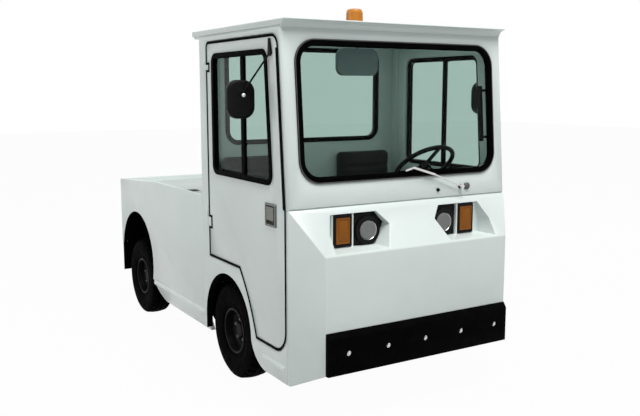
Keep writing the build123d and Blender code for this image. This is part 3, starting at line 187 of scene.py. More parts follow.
# %% Tools for node trees
def new_group(name, inputs, outputs):
    """An empty node group with named sockets, as (group, input node, output node)."""
    group = bpy.data.node_groups.new(name, "ShaderNodeTree")
    for label, kind, value in inputs:
        socket = group.interface.new_socket(label, in_out="INPUT", socket_type="NodeSocket" + kind)
        socket.default_value = value
    for label, kind in outputs:
        group.interface.new_socket(label, in_out="OUTPUT", socket_type="NodeSocket" + kind)
    return group, group.nodes.new("NodeGroupInput"), group.nodes.new("NodeGroupOutput")


def feed(tree, value, socket):
    """Give a socket a number, or a link from another socket."""
    if isinstance(value, (int, float)):
        socket.default_value = value
    else:
        tree.links.new(value, socket)


def noise(tree, scale, detail=2.0):
    """Noise on Object coordinates, in cycles per metre; scale may be a number or a socket."""
    coordinates = tree.nodes.new("ShaderNodeTexCoord")
    texture = tree.nodes.new("ShaderNodeTexNoise")
    texture.inputs["Detail"].default_value = detail
    tree.links.new(coordinates.outputs["Object"], texture.inputs["Vector"])
    feed(tree, scale, texture.inputs["Scale"])
    return texture.outputs["Fac"]


def spread(tree, value, low, high, to_low=0.0, to_high=1.0):
    """Stretch the part of a value between low and high over a new range; ends may be sockets."""
    stretch = tree.nodes.new("ShaderNodeMapRange")
    tree.links.new(value, stretch.inputs["Value"])
    for label, end in (("From Min", low), ("From Max", high), ("To Min", to_low), ("To Max", to_high)):
        feed(tree, end, stretch.inputs[label])
    return stretch.outputs["Result"]


def blend_colours(tree, factor, first, second):
    """Mix two colour sockets by a factor."""
    mix = tree.nodes.new("ShaderNodeMix")
    mix.data_type = "RGBA"
    tree.links.new(factor, mix.inputs["Factor"])
    tree.links.new(first, mix.inputs["A"])
    tree.links.new(second, mix.inputs["B"])
    return next(socket for socket in mix.outputs if socket.type == "RGBA")


def bumped(tree, height, depth, distance):
    """A normal from a height; depth is a strength as a number or a socket."""
    bump = tree.nodes.new("ShaderNodeBump")
    bump.inputs["Distance"].default_value = distance
    tree.links.new(height, bump.inputs["Height"])
    feed(tree, depth, bump.inputs["Strength"])
    return bump.outputs["Normal"]


# %% Paint film, moulded grain and road film
# noise in cycles per metre
MOTTLE, STREAKS, PEEL = 2.2, 7, 240
PATCHES, WEAR = 14, 30
CLOUD = 9
# height of the bumps in metres
PEEL_HEIGHT, GRAIN_HEIGHT = 0.0004, 0.0006
SURFACE = (("Colour", "Color"), ("Roughness", "Float"), ("Normal", "Vector"))

paint_film, ins, outs = new_group(
    "Paint film",
    (("Colour", "Color", (0.8, 0.8, 0.8, 1)), ("Shade", "Color", (0.7, 0.7, 0.7, 1)), ("Peel", "Float", 0.1),
     ("Smooth", "Float", 0.25), ("Rough", "Float", 0.4)),
    SURFACE,
)
mottle = spread(paint_film, noise(paint_film, MOTTLE, 4), 0.35, 0.75)
colour = blend_colours(paint_film, mottle, ins.outputs["Colour"], ins.outputs["Shade"])
streaks = noise(paint_film, STREAKS, 3)
gloss = spread(paint_film, streaks, 0.3, 0.7, ins.outputs["Smooth"], ins.outputs["Rough"])
relief = bumped(paint_film, noise(paint_film, PEEL, 2), ins.outputs["Peel"], PEEL_HEIGHT)
for (label, _), result in zip(SURFACE, (colour, gloss, relief)):
    paint_film.links.new(result, outs.inputs[label])

moulded_grain, ins, outs = new_group(
    "Moulded grain",
    (("Colour", "Color", (0.02, 0.02, 0.02, 1)), ("Worn", "Color", (0.05, 0.05, 0.05, 1)), ("Scale", "Float", 600),
     ("Depth", "Float", 0.3), ("Smooth", "Float", 0.4), ("Rough", "Float", 0.6)),
    SURFACE,
)
patches = spread(moulded_grain, noise(moulded_grain, PATCHES, 5), 0.45, 0.8)
colour = blend_colours(moulded_grain, patches, ins.outputs["Colour"], ins.outputs["Worn"])
wear = noise(moulded_grain, WEAR, 3)
gloss = spread(moulded_grain, wear, 0.3, 0.7, ins.outputs["Smooth"], ins.outputs["Rough"])
grain = noise(moulded_grain, ins.outputs["Scale"], 3)
relief = bumped(moulded_grain, grain, ins.outputs["Depth"], GRAIN_HEIGHT)
for (label, _), result in zip(SURFACE, (colour, gloss, relief)):
    moulded_grain.links.new(result, outs.inputs[label])

road_film, ins, outs = new_group(
    "Road film",
    (("Clean", "Color", (0.5, 0.5, 0.5, 1)), ("Dust", "Color", (0.30, 0.28, 0.25, 1)), ("Height", "Float", 0.5),
     ("Cover", "Float", 0.4)),
    (("Colour", "Color"),),
)
place = road_film.nodes.new("ShaderNodeTexCoord")
split = road_film.nodes.new("ShaderNodeSeparateXYZ")
road_film.links.new(place.outputs["Object"], split.inputs["Vector"])
nearness = spread(road_film, split.outputs["Z"], ins.outputs["Height"], 0.0)
cloud = spread(road_film, noise(road_film, CLOUD, 5), 0.35, 0.8, 0.0, ins.outputs["Cover"])
dusting = road_film.nodes.new("ShaderNodeMath")
dusting.operation = "MULTIPLY"
road_film.links.new(nearness, dusting.inputs[0])
road_film.links.new(cloud, dusting.inputs[1])
colour = blend_colours(road_film, dusting.outputs[0], ins.outputs["Clean"], ins.outputs["Dust"])
road_film.links.new(colour, outs.inputs["Colour"])
print("node groups", [group.name for group in bpy.data.node_groups])

# %% [markdown]
# ## Finishes
# Each finish is one material with its own Principled shader. Paints share the paint film, rubber and plastic
# share the moulded grain, and what runs near the road gets the dust. Values that are the same all over, such
# as a coat or an index of refraction, are set on the shader itself.


# %% Painted and moulded finishes
def grouped_material(name, group, dust=None, sockets=None, **values):
    """A material whose colour, roughness and normal come from a shared effect; dust is a height and a cover."""
    finish = bpy.data.materials.new(name)
    finish.use_nodes = True
    tree = finish.node_tree
    shader = tree.nodes["Principled BSDF"]
    effect = tree.nodes.new("ShaderNodeGroup")
    effect.node_tree = group
    for label, value in values.items():
        effect.inputs[label].default_value = value
    colour = effect.outputs["Colour"]
    if dust:
        film = tree.nodes.new("ShaderNodeGroup")
        film.node_tree = road_film
        film.inputs["Height"].default_value, film.inputs["Cover"].default_value = dust
        tree.links.new(colour, film.inputs["Clean"])
        colour = film.outputs["Colour"]
    tree.links.new(colour, shader.inputs["Base Color"])
    tree.links.new(effect.outputs["Roughness"], shader.inputs["Roughness"])
    tree.links.new(effect.outputs["Normal"], shader.inputs["Normal"])
    for label, value in (sockets or {}).items():
        shader.inputs[label].default_value = value
    return finish


def grey(level, tint=(1, 1, 1)):
    """A colour near grey, as four numbers."""
    return (level * tint[0], level * tint[1], level * tint[2], 1)


COOL, BLUE, SLATE = (0.915, 1.0, 0.968), (0.8, 0.9, 1.0), (0.80, 1.0, 1.05)
SPLASH = 0.6
white_paint = grouped_material(
    "white_paint", paint_film, (0.9, 0.10), {"Coat Weight": 0.25, "Coat Roughness": 0.12},
    Colour=grey(0.80, COOL), Shade=grey(0.755, COOL), Peel=0.05, Smooth=0.28, Rough=0.42,
)
# a darker copy of the white paint: anti-slip grain, with painted shade in its colour
shaded_deck_paint = grouped_material(
    "shaded_deck_paint", paint_film,
    Colour=grey(0.60, COOL), Shade=grey(0.55, COOL), Peel=0.4, Smooth=0.42, Rough=0.6,
)
frame_paint = grouped_material(
    "frame_paint", paint_film, (SPLASH, 0.5),
    Colour=grey(0.022), Shade=grey(0.035), Peel=0.25, Smooth=0.4, Rough=0.6,
)
# near black: the rim colour is painted shade inside the deep-dished wheels
rim_paint = grouped_material(
    "rim_paint", paint_film, (SPLASH, 0.006), {"Specular IOR Level": 0.05},
    Colour=grey(0.004), Shade=grey(0.006), Peel=0.15, Smooth=0.35, Rough=0.5,
)
bare_casting = grouped_material(
    "bare_casting", moulded_grain, (SPLASH, 0.4), {"Metallic": 0.6},
    Colour=grey(0.10), Worn=grey(0.16), Scale=260, Depth=0.5, Smooth=0.5, Rough=0.7,
)
black_rubber = grouped_material(
    "black_rubber", moulded_grain, (SPLASH, 0.003), {"Specular IOR Level": 0.01},
    Colour=grey(0.0012), Worn=grey(0.0025), Scale=420, Depth=0.25, Smooth=0.45, Rough=0.65,
)
tyre_rubber = grouped_material(
    "tyre_rubber", moulded_grain, (SPLASH, 0.004), {"Specular IOR Level": 0.01},
    Colour=grey(0.0012), Worn=grey(0.0025), Scale=300, Depth=0.35, Smooth=0.6, Rough=0.8,
)
black_plastic = grouped_material(
    "black_plastic", moulded_grain, None, {"Specular IOR Level": 0.1},
    Colour=grey(0.004), Worn=grey(0.007), Scale=900, Depth=0.3, Smooth=0.35, Rough=0.5,
)
battery_case = grouped_material(
    "battery_case", moulded_grain, Colour=grey(0.05, BLUE), Worn=grey(0.07), Scale=500, Depth=0.3
)
seat_vinyl = grouped_material(
    "seat_vinyl", moulded_grain, None, {"Sheen Weight": 0.05, "Specular IOR Level": 0.2},
    Colour=grey(0.005), Worn=grey(0.009), Scale=340, Depth=0.5, Smooth=0.38, Rough=0.55,
)
# lighter than the rubber: the filler's grey is a painted highlight along the middle of the seal
filler_grey_highlight = grouped_material(
    "filler_grey_highlight", moulded_grain,
    Colour=grey(0.05), Worn=grey(0.08), Scale=500, Depth=0.1, Smooth=0.3, Rough=0.45,
)
visor_grey = grouped_material(
    "visor_grey", moulded_grain,
    Colour=grey(0.17, SLATE), Worn=grey(0.20), Scale=500, Depth=0.2, Smooth=0.4, Rough=0.55,
)
dial_ivory = grouped_material(
    "dial_ivory", moulded_grain,
    Colour=grey(0.55), Worn=grey(0.5), Scale=700, Depth=0.05, Smooth=0.3, Rough=0.4,
)
print("painted and moulded finishes, with the floor's", len(bpy.data.materials))


# %% Glass, lenses and bright metal
RIPPLE_HEIGHT = 0.0005


def plain_material(name, colour, **values):
    """A material with its colour and sockets set directly, as (material, shader)."""
    finish = bpy.data.materials.new(name)
    finish.use_nodes = True
    shader = finish.node_tree.nodes["Principled BSDF"]
    shader.inputs["Base Color"].default_value = colour
    for label, value in values.items():
        shader.inputs[label.replace("_", " ")].default_value = value
    return finish, shader


def rippled_material(name, colour, scale, strength, stretch=(1, 1, 1), brushed=None, **values):
    """A plain material with a noise bump; a brushed one takes its roughness from the same noise."""
    finish, shader = plain_material(name, colour, **values)
    tree = finish.node_tree
    coordinates = tree.nodes.new("ShaderNodeTexCoord")
    mapping = tree.nodes.new("ShaderNodeMapping")
    mapping.inputs["Scale"].default_value = stretch
    texture = tree.nodes.new("ShaderNodeTexNoise")
    texture.inputs["Scale"].default_value = scale
    tree.links.new(coordinates.outputs["Object"], mapping.inputs["Vector"])
    tree.links.new(mapping.outputs["Vector"], texture.inputs["Vector"])
    tree.links.new(bumped(tree, texture.outputs["Fac"], strength, RIPPLE_HEIGHT), shader.inputs["Normal"])
    if brushed:
        tree.links.new(spread(tree, texture.outputs["Fac"], 0.3, 0.7, *brushed), shader.inputs["Roughness"])
    return finish


tinted_glass = rippled_material(
    "tinted_glass", (0.58, 0.69, 0.652, 1), 3, 0.02, Roughness=0.0, Transmission_Weight=1.0, IOR=1.12
)
clear_lens = rippled_material(
    "clear_lens", (0.9, 0.92, 0.92, 1), 60, 0.1, Roughness=0.06, Transmission_Weight=1.0, IOR=1.5
)
amber_lens = rippled_material(
    "amber_lens", (0.27, 0.085, 0.003, 1), 120, 0.2, Roughness=0.35, Transmission_Weight=0.1, IOR=1.3
)
red_lens = rippled_material(
    "red_lens", (0.65, 0.012, 0.01, 1), 120, 0.2, Roughness=0.18, Transmission_Weight=0.35, IOR=1.5
)
beacon_amber = rippled_material(
    "beacon_amber", (0.72, 0.27, 0.014, 1), 120, 0.2, Roughness=0.2, Transmission_Weight=0.3, IOR=1.5
)
latch_metal = rippled_material(
    "latch_metal", (0.15, 0.16, 0.145, 1), 90, 0.25, (1, 1, 12), brushed=(0.35, 0.55), Metallic=1.0
)
zinc_steel = rippled_material("zinc_steel", (0.66, 0.66, 0.64, 1), 160, 0.2, brushed=(0.25, 0.5), Metallic=1.0)
mirror_glass = rippled_material("mirror_glass", (0.80, 0.83, 0.84, 1), 2, 0.01, Metallic=1.0, Roughness=0.03)
reflector_silver = rippled_material(
    "reflector_silver", (0.55, 0.55, 0.54, 1), 70, 0.15, Metallic=1.0, Roughness=0.22
)
print("finishes", len(bpy.data.materials))

# %% [markdown]
# ## Finishes on the CAD pieces
# The record names a finish slot for every CAD node. Reading it here keeps one list in one place, and a node
# that is replaced further down hands its finish on to the piece that stands for it.

# %% Put each finish on its nodes
FINISHES = {
    "white_paint": white_paint, "frame_paint": frame_paint, "bare_casting": bare_casting, "battery_case": battery_case,
    "tyre_rubber": tyre_rubber, "rim_paint": rim_paint, "black_rubber": black_rubber, "tinted_glass": tinted_glass,
    "latch_metal": latch_metal, "black_plastic": black_plastic, "clear_lens": clear_lens, "amber_lens": amber_lens,
    "red_lens": red_lens, "seat_vinyl": seat_vinyl,
}
node_slot = {entry["node"]: entry["material_slot"] for entry in frame["record"]["subparts"]}
for node, thing in frame["nodes"].items():
    thing.data.materials.clear()
    thing.data.materials.append(FINISHES[node_slot[node]])
print("nodes with a finish", len(node_slot))

# %% [markdown]
# ## Folded and moulded edges
# Sheet metal is folded round a radius and rubber is moulded with one, so no real edge is knife sharp, and the
# thin highlight along it is what makes a panel look like metal. Each CAD piece is copied, its loose triangles
# are merged and its edges get a small bevel. The copy stands for the CAD node and keeps its form.


# %% Tools for pieces
HANDS = (("right", -1), ("left", 1))
SMOOTH_ANGLE = 35


def alone(piece):
    """Select only this piece and make it the active one."""
    if bpy.context.object and bpy.context.object.mode != "OBJECT":
        bpy.ops.object.mode_set(mode="OBJECT")
    bpy.ops.object.select_all(action="DESELECT")
    piece.select_set(True)
    bpy.context.view_layer.objects.active = piece


def merged_copy(node, name):
    """A copy of a CAD node with its triangles merged and its flat faces joined."""
    piece = bpy.data.objects.new(name, frame["nodes"][node].data.copy())
    bpy.context.scene.collection.objects.link(piece)
    alone(piece)
    bpy.ops.mesh.customdata_custom_splitnormals_clear()
    bpy.ops.object.mode_set(mode="EDIT")
    bpy.ops.mesh.select_all(action="SELECT")
    bpy.ops.mesh.remove_doubles(threshold=0.00002)
    bpy.ops.mesh.dissolve_limited(angle_limit=radians(1))
    bpy.ops.object.mode_set(mode="OBJECT")
    return piece


def pick(piece, kind, elements, test):
    """In edit mode, select only those vertices, edges or faces that pass the test."""
    alone(piece)
    bpy.ops.object.mode_set(mode="EDIT")
    bpy.ops.mesh.select_mode(type=kind)
    bpy.ops.mesh.select_all(action="DESELECT")
    bpy.ops.object.mode_set(mode="OBJECT")
    for element in elements:
        element.select = test(element)
    bpy.ops.object.mode_set(mode="EDIT")


def pick_faces(piece, test):
    """In edit mode, select only the faces whose centre and normal pass the test."""
    pick(piece, "FACE", piece.data.polygons, lambda face: test(face.center, face.normal))


def modified(piece, kind, **settings):
    """Add a modifier with these settings to the active piece, and apply it."""
    modifier = piece.modifiers.new(kind, kind)
    for name, value in settings.items():
        setattr(modifier, name, value)
    bpy.ops.object.modifier_apply(modifier=modifier.name)


def bevelled(piece, width, segments=2, angle=30):
    """Round the sharp edges of a piece."""
    alone(piece)
    modified(piece, "BEVEL", width=width, segments=segments, limit_method="ANGLE", angle_limit=radians(angle))
    bpy.ops.object.shade_smooth_by_angle(angle=radians(SMOOTH_ANGLE))
    return piece


def finished(piece, finish, body, *nodes, slot=None):
    """Settle a piece's place in its mesh, paint it, let it ride on a body and stand for CAD nodes."""
    alone(piece)
    bpy.ops.object.transform_apply(location=True, rotation=True, scale=True)
    piece.data.materials.clear()
    piece.data.materials.append(finish)
    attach(piece, body)
    if slot or finish.name in FINISHES:
        slot or finish.name
    if nodes:
        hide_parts(*nodes)
    return piece


def joined(pieces, name):
    """Several meshes as one piece."""
    alone(pieces[0])
    for piece in pieces[1:]:
        piece.select_set(True)
    bpy.ops.object.join()
    pieces[0].name = name
    return pieces[0]


# %% Tools for small forms
def cuboid(name, place, size, tilt=0.0):
    """A box of a given size, tilted about Y by some degrees."""
    bpy.ops.object.select_all(action="DESELECT")
    bpy.ops.mesh.primitive_cube_add(size=1, location=place, rotation=(0, radians(tilt), 0), scale=size)
    piece = bpy.context.active_object
    piece.name = name
    bpy.ops.object.transform_apply(location=True, rotation=True, scale=True)
    return piece


def looking(*way):
    """A test that passes the faces which look along a direction."""
    return lambda centre, normal: normal.dot(Vector(way)) > 0.9


def pressed(piece, test, *steps):
    """Inset the faces that pass the test and move what is left of them, step by step."""
    pick_faces(piece, test)
    for inset, move in steps:
        if inset:
            bpy.ops.mesh.inset(thickness=inset)
        if move:
            bpy.ops.mesh.extrude_region_move(TRANSFORM_OT_translate={"value": move})
    bpy.ops.object.mode_set(mode="OBJECT")
    return piece


def faced_out():
    """Turn all normals of the piece in edit mode outwards, and leave that mode."""
    bpy.ops.mesh.select_all(action="SELECT")
    bpy.ops.mesh.normals_make_consistent(inside=False)
    bpy.ops.object.mode_set(mode="OBJECT")


# %% Rounded edges on sheet metal, castings and rubber
# bevel width in metres, steps, nodes
EDGES = (
    (0.004, 2, "nose_panel cab_side_right cab_side_left door_right door_left rear_side_right rear_side_left"),
    (0.004, 2, "cab_front cab_rear rear_panel chassis_frame rear_axle"),
    (0.005, 3, "roof front_bumper"),
    (0.0015, 2, "cargo_deck battery_lid mud_flaps leaf_springs cab_floor lamp_frames tie_rod"),
    (0.003, 2, "front_axle_beam knuckle_right knuckle_left tow_hitch battery_pack dashboard tail_lamps"),
    (0.008, 3, "windscreen_seal rear_window_seal door_seal_right door_seal_left"),
    (0.003, 2, "cab_mirror door_mirror_right door_mirror_left steering_wheel"),
    (0.0015, 2, "beacon_base steering_column grab_handle wheel_liners door_latch_right door_latch_left"),
)
for width, steps, nodes in EDGES:
    for node in nodes.split():
        skin = bevelled(merged_copy(node, node + "_edged"), width, steps)
        finished(skin, FINISHES[node_slot[node]], frame["nodes"][node]["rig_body"], node)
print("edged pieces", sum(len(nodes.split()) for _, _, nodes in EDGES))

# %% [markdown]
# ## Deck paint with painted shade
# The deck and the lid are walked on, so their white paint carries an anti-slip grain. Its colour is also set
# a shade darker than the smooth sides, which is painted shade for the deck. They keep their softened edges and
# only change their finish, and so does the inside mirror, whose shell is slate grey.

# %% Anti-slip finish and painted shade on the deck, slate shell of the inside mirror
for node in ("cargo_deck", "battery_lid"):
    deck = bpy.data.objects[node + "_edged"]
    deck.data.materials[0] = shaded_deck_paint
mirror_shell = bpy.data.objects["cab_mirror_edged"]
mirror_shell.data.materials[0] = visor_grey
print("deck pieces", 2, "slate shells", 1)

# %% [markdown]
# ## Underseal on the wheel arches
# The cut edges of the arches are sealed with black paste. The band is taken from the panel itself: only the
# faces that look into the wheel opening are kept, and they get a thickness of one millimetre.

# %% Bands along the arches
UNDERSEAL, ARCH_NEAR = 0.001, 0.30
# node, middle of the arch, largest distance from it
ARCHES = (
    ("cab_side", (0.6065, 0.328), 0.335),
    ("rear_side", (-1.0755, 0.449), 0.372),
)


def off_arch(arch_x, arch_z, reach):
    """A test that passes the faces which aren't the arch's own edge."""
    def test(centre, normal):
        out = Vector((centre.x - arch_x, 0, centre.z - arch_z))
        if abs(normal.y) > 0.2 or not ARCH_NEAR <= out.length <= reach:
            return True
        return out.normalized().dot(normal) > -0.9
    return test


for node, (arch_x, arch_z), reach in ARCHES:
    for hand, _ in HANDS:
        band = merged_copy(node + "_" + hand, "underseal_" + node + "_" + hand)
        pick_faces(band, off_arch(arch_x, arch_z, reach))
        bpy.ops.mesh.delete(type="FACE")
        bpy.ops.object.mode_set(mode="OBJECT")
        modified(band, "SOLIDIFY", thickness=UNDERSEAL, offset=1)
        bpy.ops.object.shade_smooth_by_angle(angle=radians(SMOOTH_ANGLE))
        finished(band, black_rubber, "chassis")
print("underseal bands", len(HANDS) * len(ARCHES), "faces", len(band.data.polygons))

# %% [markdown]
# ## Rubber round the doors
# A strip of black rubber closes the gap round each door. Drawn as a curve it would need the door's outline
# again, so the outline is taken from the door itself: its outer face is kept, the window is dropped, and the
# face is inset to leave a narrow frame, which is then given its thickness.


# %% Strips along the edge of a face
# least cosine, largest step and least area of the faces that count as one flat side
SAME_WAY, SAME_LEVEL, SIDE_AREA = 0.999, 0.0005, 0.01


def edge_strip(node, name, facing, start, width, rise):
    """A raised strip that runs along the outer edge of the face of a node that looks a given way."""
    piece = merged_copy(node, name)
    facing = Vector(facing).normalized()
    level = max(
        face.center.dot(facing) for face in piece.data.polygons
        if face.normal.dot(facing) > SAME_WAY and face.area > SIDE_AREA
    )
    pick_faces(
        piece,
        lambda centre, normal: normal.dot(facing) > SAME_WAY and abs(centre.dot(facing) - level) < SAME_LEVEL,
    )
    bpy.ops.mesh.region_to_loop()
    bpy.ops.mesh.select_all(action="INVERT")
    bpy.ops.mesh.delete(type="EDGE")
    bpy.ops.mesh.separate(type="LOOSE")
    bpy.ops.object.mode_set(mode="OBJECT")
    loops = sorted(bpy.context.selected_objects, key=lambda loop: loop.dimensions.length)
    for window in loops[:-1]:
        bpy.data.objects.remove(window)
    piece = loops[-1]
    piece.name = name
    alone(piece)
    bpy.ops.object.mode_set(mode="EDIT")
    bpy.ops.mesh.select_mode(type="EDGE")
    bpy.ops.mesh.select_all(action="SELECT")
    bpy.ops.mesh.edge_face_add()
    if start:
        bpy.ops.mesh.inset(thickness=start)
        bpy.ops.mesh.select_all(action="INVERT")
        bpy.ops.mesh.delete(type="FACE")
        bpy.ops.mesh.select_mode(type="FACE")
        bpy.ops.mesh.select_all(action="SELECT")
    bpy.ops.mesh.inset(thickness=width)
    bpy.ops.mesh.delete(type="FACE")
    bpy.ops.mesh.select_all(action="SELECT")
    bpy.ops.mesh.extrude_region_move(TRANSFORM_OT_translate={"value": facing * rise})
    faced_out()
    return piece


# start from the edge, width, rise
DOOR_STRIP = (0.0, 0.014, 0.003)
for hand, outward in HANDS:
    strip = edge_strip("door_" + hand, "door_strip_" + hand, (0, outward, 0), *DOOR_STRIP)
    finished(bevelled(strip, 0.001), black_rubber, "door_" + hand)
    print(strip.name, "points", len(strip.data.vertices))

# %% [markdown]
# ## Filler strip in the windscreen rubber
# The glass is held by a rubber section that is spread by a thin filler, pushed in last. The filler is a lighter
# grey than the rubber, a painted highlight that shows as one line along the middle of the rubber.

# %% Filler strip
SCREEN_LEAN = 0.084
SCREEN_FACING = (1, 0, SCREEN_LEAN)
# start from the edge, width, rise
FILLER_STRIP = (0.011, 0.006, 0.0015)
filler = edge_strip("windscreen_seal", "windscreen_filler", SCREEN_FACING, *FILLER_STRIP)
finished(bevelled(filler, 0.0006), filler_grey_highlight, "chassis", slot="black_rubber")
print(filler.name, "points", len(filler.data.vertices))

# %% [markdown]
# ## Tyres
# The wheels carry industrial road tyres. A torus would be too round, so half of the real section is drawn as
# a chain of points, with bead, sidewall ribs, shoulder and grooves, and spun round the hub. Every third step
# of the shoulder is then pushed in, which leaves the open lugs of a road tread.


# %% Draw and spin a section
def drawn_path(name, places):
    """A chain of points, drawn by extruding one point from place to place; stays in edit mode."""
    if bpy.context.object and bpy.context.object.mode != "OBJECT":
        bpy.ops.object.mode_set(mode="OBJECT")
    bpy.ops.object.select_all(action="DESELECT")
    bpy.ops.mesh.primitive_plane_add(size=0.001, location=places[0])
    piece = bpy.context.active_object
    piece.name = name
    bpy.ops.object.mode_set(mode="EDIT")
    bpy.ops.mesh.select_mode(type="VERT")
    bpy.ops.mesh.merge(type="CENTER")
    for here, there in zip(places, places[1:]):
        bpy.ops.mesh.extrude_vertices_move(TRANSFORM_OT_translate={"value": Vector(there) - Vector(here)})
    return piece


def spun(name, places, centre, axis, steps):
    """A section of places turned once round an axis."""
    piece = drawn_path(name, places)
    bpy.ops.mesh.select_all(action="SELECT")
    bpy.ops.mesh.spin(steps=steps, angle=tau, center=centre, axis=axis)
    bpy.ops.mesh.select_all(action="SELECT")
    bpy.ops.mesh.remove_doubles(threshold=0.00005)
    faced_out()
    bpy.ops.object.transform_apply(location=True, rotation=True, scale=True)
    return piece


def copied(piece, name, move):
    """A moved copy with its own mesh."""
    alone(piece)
    bpy.ops.object.duplicate()
    copy = bpy.context.active_object
    copy.name = name
    bpy.ops.transform.translate(value=move)
    bpy.ops.object.transform_apply(location=True, rotation=True, scale=True)
    return copy


# %% One tyre, copied to four hubs
HUB_Z, HUB_Y = 0.295, 0.640
FRONT_X, REAR_X = 0.6225, -1.0675
HUBS = {
    "front_right": (FRONT_X, -HUB_Y), "front_left": (FRONT_X, HUB_Y),
    "rear_right": (REAR_X, -HUB_Y), "rear_left": (REAR_X, HUB_Y),
}
# radius, distance from the tyre's middle plane, from the bead out to the middle groove
TYRE_SECTION = (
    (0.1406, 0.0620), (0.1500, 0.0740), (0.1580, 0.0790), (0.1640, 0.0800), (0.1680, 0.0770), (0.1850, 0.0800),
    (0.2050, 0.0830), (0.2250, 0.0845), (0.2290, 0.0832), (0.2330, 0.0842), (0.2500, 0.0825), (0.2700, 0.0775),
    (0.2830, 0.0690), (0.2885, 0.0600), (0.2910, 0.0400), (0.2830, 0.0380), (0.2830, 0.0330), (0.2930, 0.0310),
    (0.2948, 0.0060), (0.2860, 0.0048), (0.2860, 0.0000),
)
TREAD_STEPS, LUG_EVERY, LUG_DEPTH = 96, 3, 0.008
# the gaps lie outside this radius and this distance from the middle plane
GAP_R, GAP_SIDE = 0.275, 0.041
hub_x, hub_y = HUBS["front_right"]
section = [(hub_x, hub_y - offset, HUB_Z + radius) for radius, offset in TYRE_SECTION]
section += [(hub_x, hub_y + offset, HUB_Z + radius) for radius, offset in reversed(TYRE_SECTION[:-1])]
tyre = spun("road_tyre_front_right", section, (hub_x, hub_y, HUB_Z), (0, 1, 0), TREAD_STEPS)


def shoulder_gap(centre, normal):
    """The faces between two lugs."""
    step = int((atan2(centre.z - HUB_Z, centre.x - hub_x) % tau) / tau * TREAD_STEPS)
    radius = Vector((centre.x - hub_x, centre.z - HUB_Z)).length
    side = centre.y - hub_y
    shift = 1 if side > 0 else 0
    return radius > GAP_R and abs(side) > GAP_SIDE and (step + shift) % LUG_EVERY == 0


pick_faces(tyre, shoulder_gap)
bpy.ops.mesh.extrude_region_shrink_fatten(TRANSFORM_OT_shrink_fatten={"value": -LUG_DEPTH})
bpy.ops.object.mode_set(mode="OBJECT")
bpy.ops.object.shade_smooth_by_angle(angle=radians(32))
for hub, (x, y) in HUBS.items():
    move = (x - hub_x, y - hub_y, 0)
    wheel_tyre = tyre if hub == "front_right" else copied(tyre, "road_tyre_" + hub, move)
    finished(wheel_tyre, tyre_rubber, "wheel_" + hub, "tyre_" + hub)
print("tyre faces", len(tyre.data.polygons))

# %% [markdown]
# ## Rims and wheel nuts
# The discs keep the form of the CAD rims with softened edges, and their near-black paint is painted shade for
# the inside of the deep-dished wheels. Each is held by a ring of hexagon nuts on studs.
# A nut starts as a six-sided cylinder, whose outer face is drawn out into the stud before its edges are bevelled.

# %% Softened rims with wheel nuts
NUT_COUNT, NUT_CIRCLE, NUT_R, NUT_HIGH = 5, 0.066, 0.0135, 0.015
NUT_SEAT, NUT_START = 0.014, 0.3
STUD_INSET, STUD_HIGH = 0.005, 0.006


def wheel_nut(place, outward):
    """A hexagon nut with its stud, lying along Y."""
    bpy.ops.object.select_all(action="DESELECT")
    bpy.ops.mesh.primitive_cylinder_add(
        vertices=6, radius=NUT_R, depth=NUT_HIGH, location=place, rotation=(radians(90), 0, 0)
    )
    nut = bpy.context.active_object
    bpy.ops.object.transform_apply(location=True, rotation=True, scale=True)
    pressed(nut, looking(0, outward, 0), (STUD_INSET, (0, outward * STUD_HIGH, 0)))
    return bevelled(nut, 0.0015)


for hub, (x, y) in HUBS.items():
    outward = -1 if y < 0 else 1
    # the near-black rim paint on the discs is painted shade
    rim = bevelled(merged_copy("rim_" + hub, "wheel_disc_" + hub), 0.002)
    finished(rim, rim_paint, "wheel_" + hub, "rim_" + hub)
    seat = y + outward * (NUT_SEAT + NUT_HIGH / 2)
    ring = []
    for number in range(NUT_COUNT):
        turn = tau * number / NUT_COUNT + NUT_START
        ring.append(wheel_nut((x + NUT_CIRCLE * cos(turn), seat, HUB_Z + NUT_CIRCLE * sin(turn)), outward))
    finished(joined(ring, "wheel_nuts_" + hub), bare_casting, "wheel_" + hub)
print("wheel nuts", NUT_COUNT * len(HUBS))

# %% [markdown]
# ## Bumper bolts
# The rubber bumper is bolted through to the nose plate. The heads sit in shallow wells, so that nothing hard
# meets an aircraft first.

# %% Five bolts with washers
BUMPER_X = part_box("front_bumper")[1].x
BOLT_Z, BOLT_SINK = 0.385, 0.005
BOLT_PLACES = (-0.487, -0.232, 0.021, 0.278, 0.532)
# radius, rise
BOLT_SECTION = ((0.0, 0.004), (0.006, 0.0038), (0.0085, 0.002), (0.0088, -0.002), (0.014, -0.002), (0.014, -0.004))
bolts = []
for place in BOLT_PLACES:
    section = [(BUMPER_X - BOLT_SINK + rise, place, BOLT_Z + radius) for radius, rise in BOLT_SECTION]
    bolt = spun("bolt", section, (BUMPER_X, place, BOLT_Z), (1, 0, 0), 24)
    bpy.ops.object.shade_smooth_by_angle(angle=radians(40))
    bolts.append(bolt)
finished(joined(bolts, "bumper_bolts"), zinc_steel, "chassis")
print("bumper bolts", len(BOLT_PLACES))

# %% [markdown]
# ## Sill mouldings
# A low pressed step stiffens the foot of each body side and catches the light from above. It could be a bump
# in the paint, but a bump gives no edge to see from behind. A bar along the fold, with its outer face drawn out
# and narrowed, keeps the tapered ends of a pressing.

# %% A step along each fold
SIDE_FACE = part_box("rear_side_left")[1].y
STEP_ROOT, STEP_RISE, STEP_TALL = 0.016, 0.010, 0.040
# how far the bar stands out, what the outer face loses in length, and the share of height that it keeps
STEP_PROUD, STEP_TAPER, STEP_NARROW = 0.0005, 0.03, 0.3
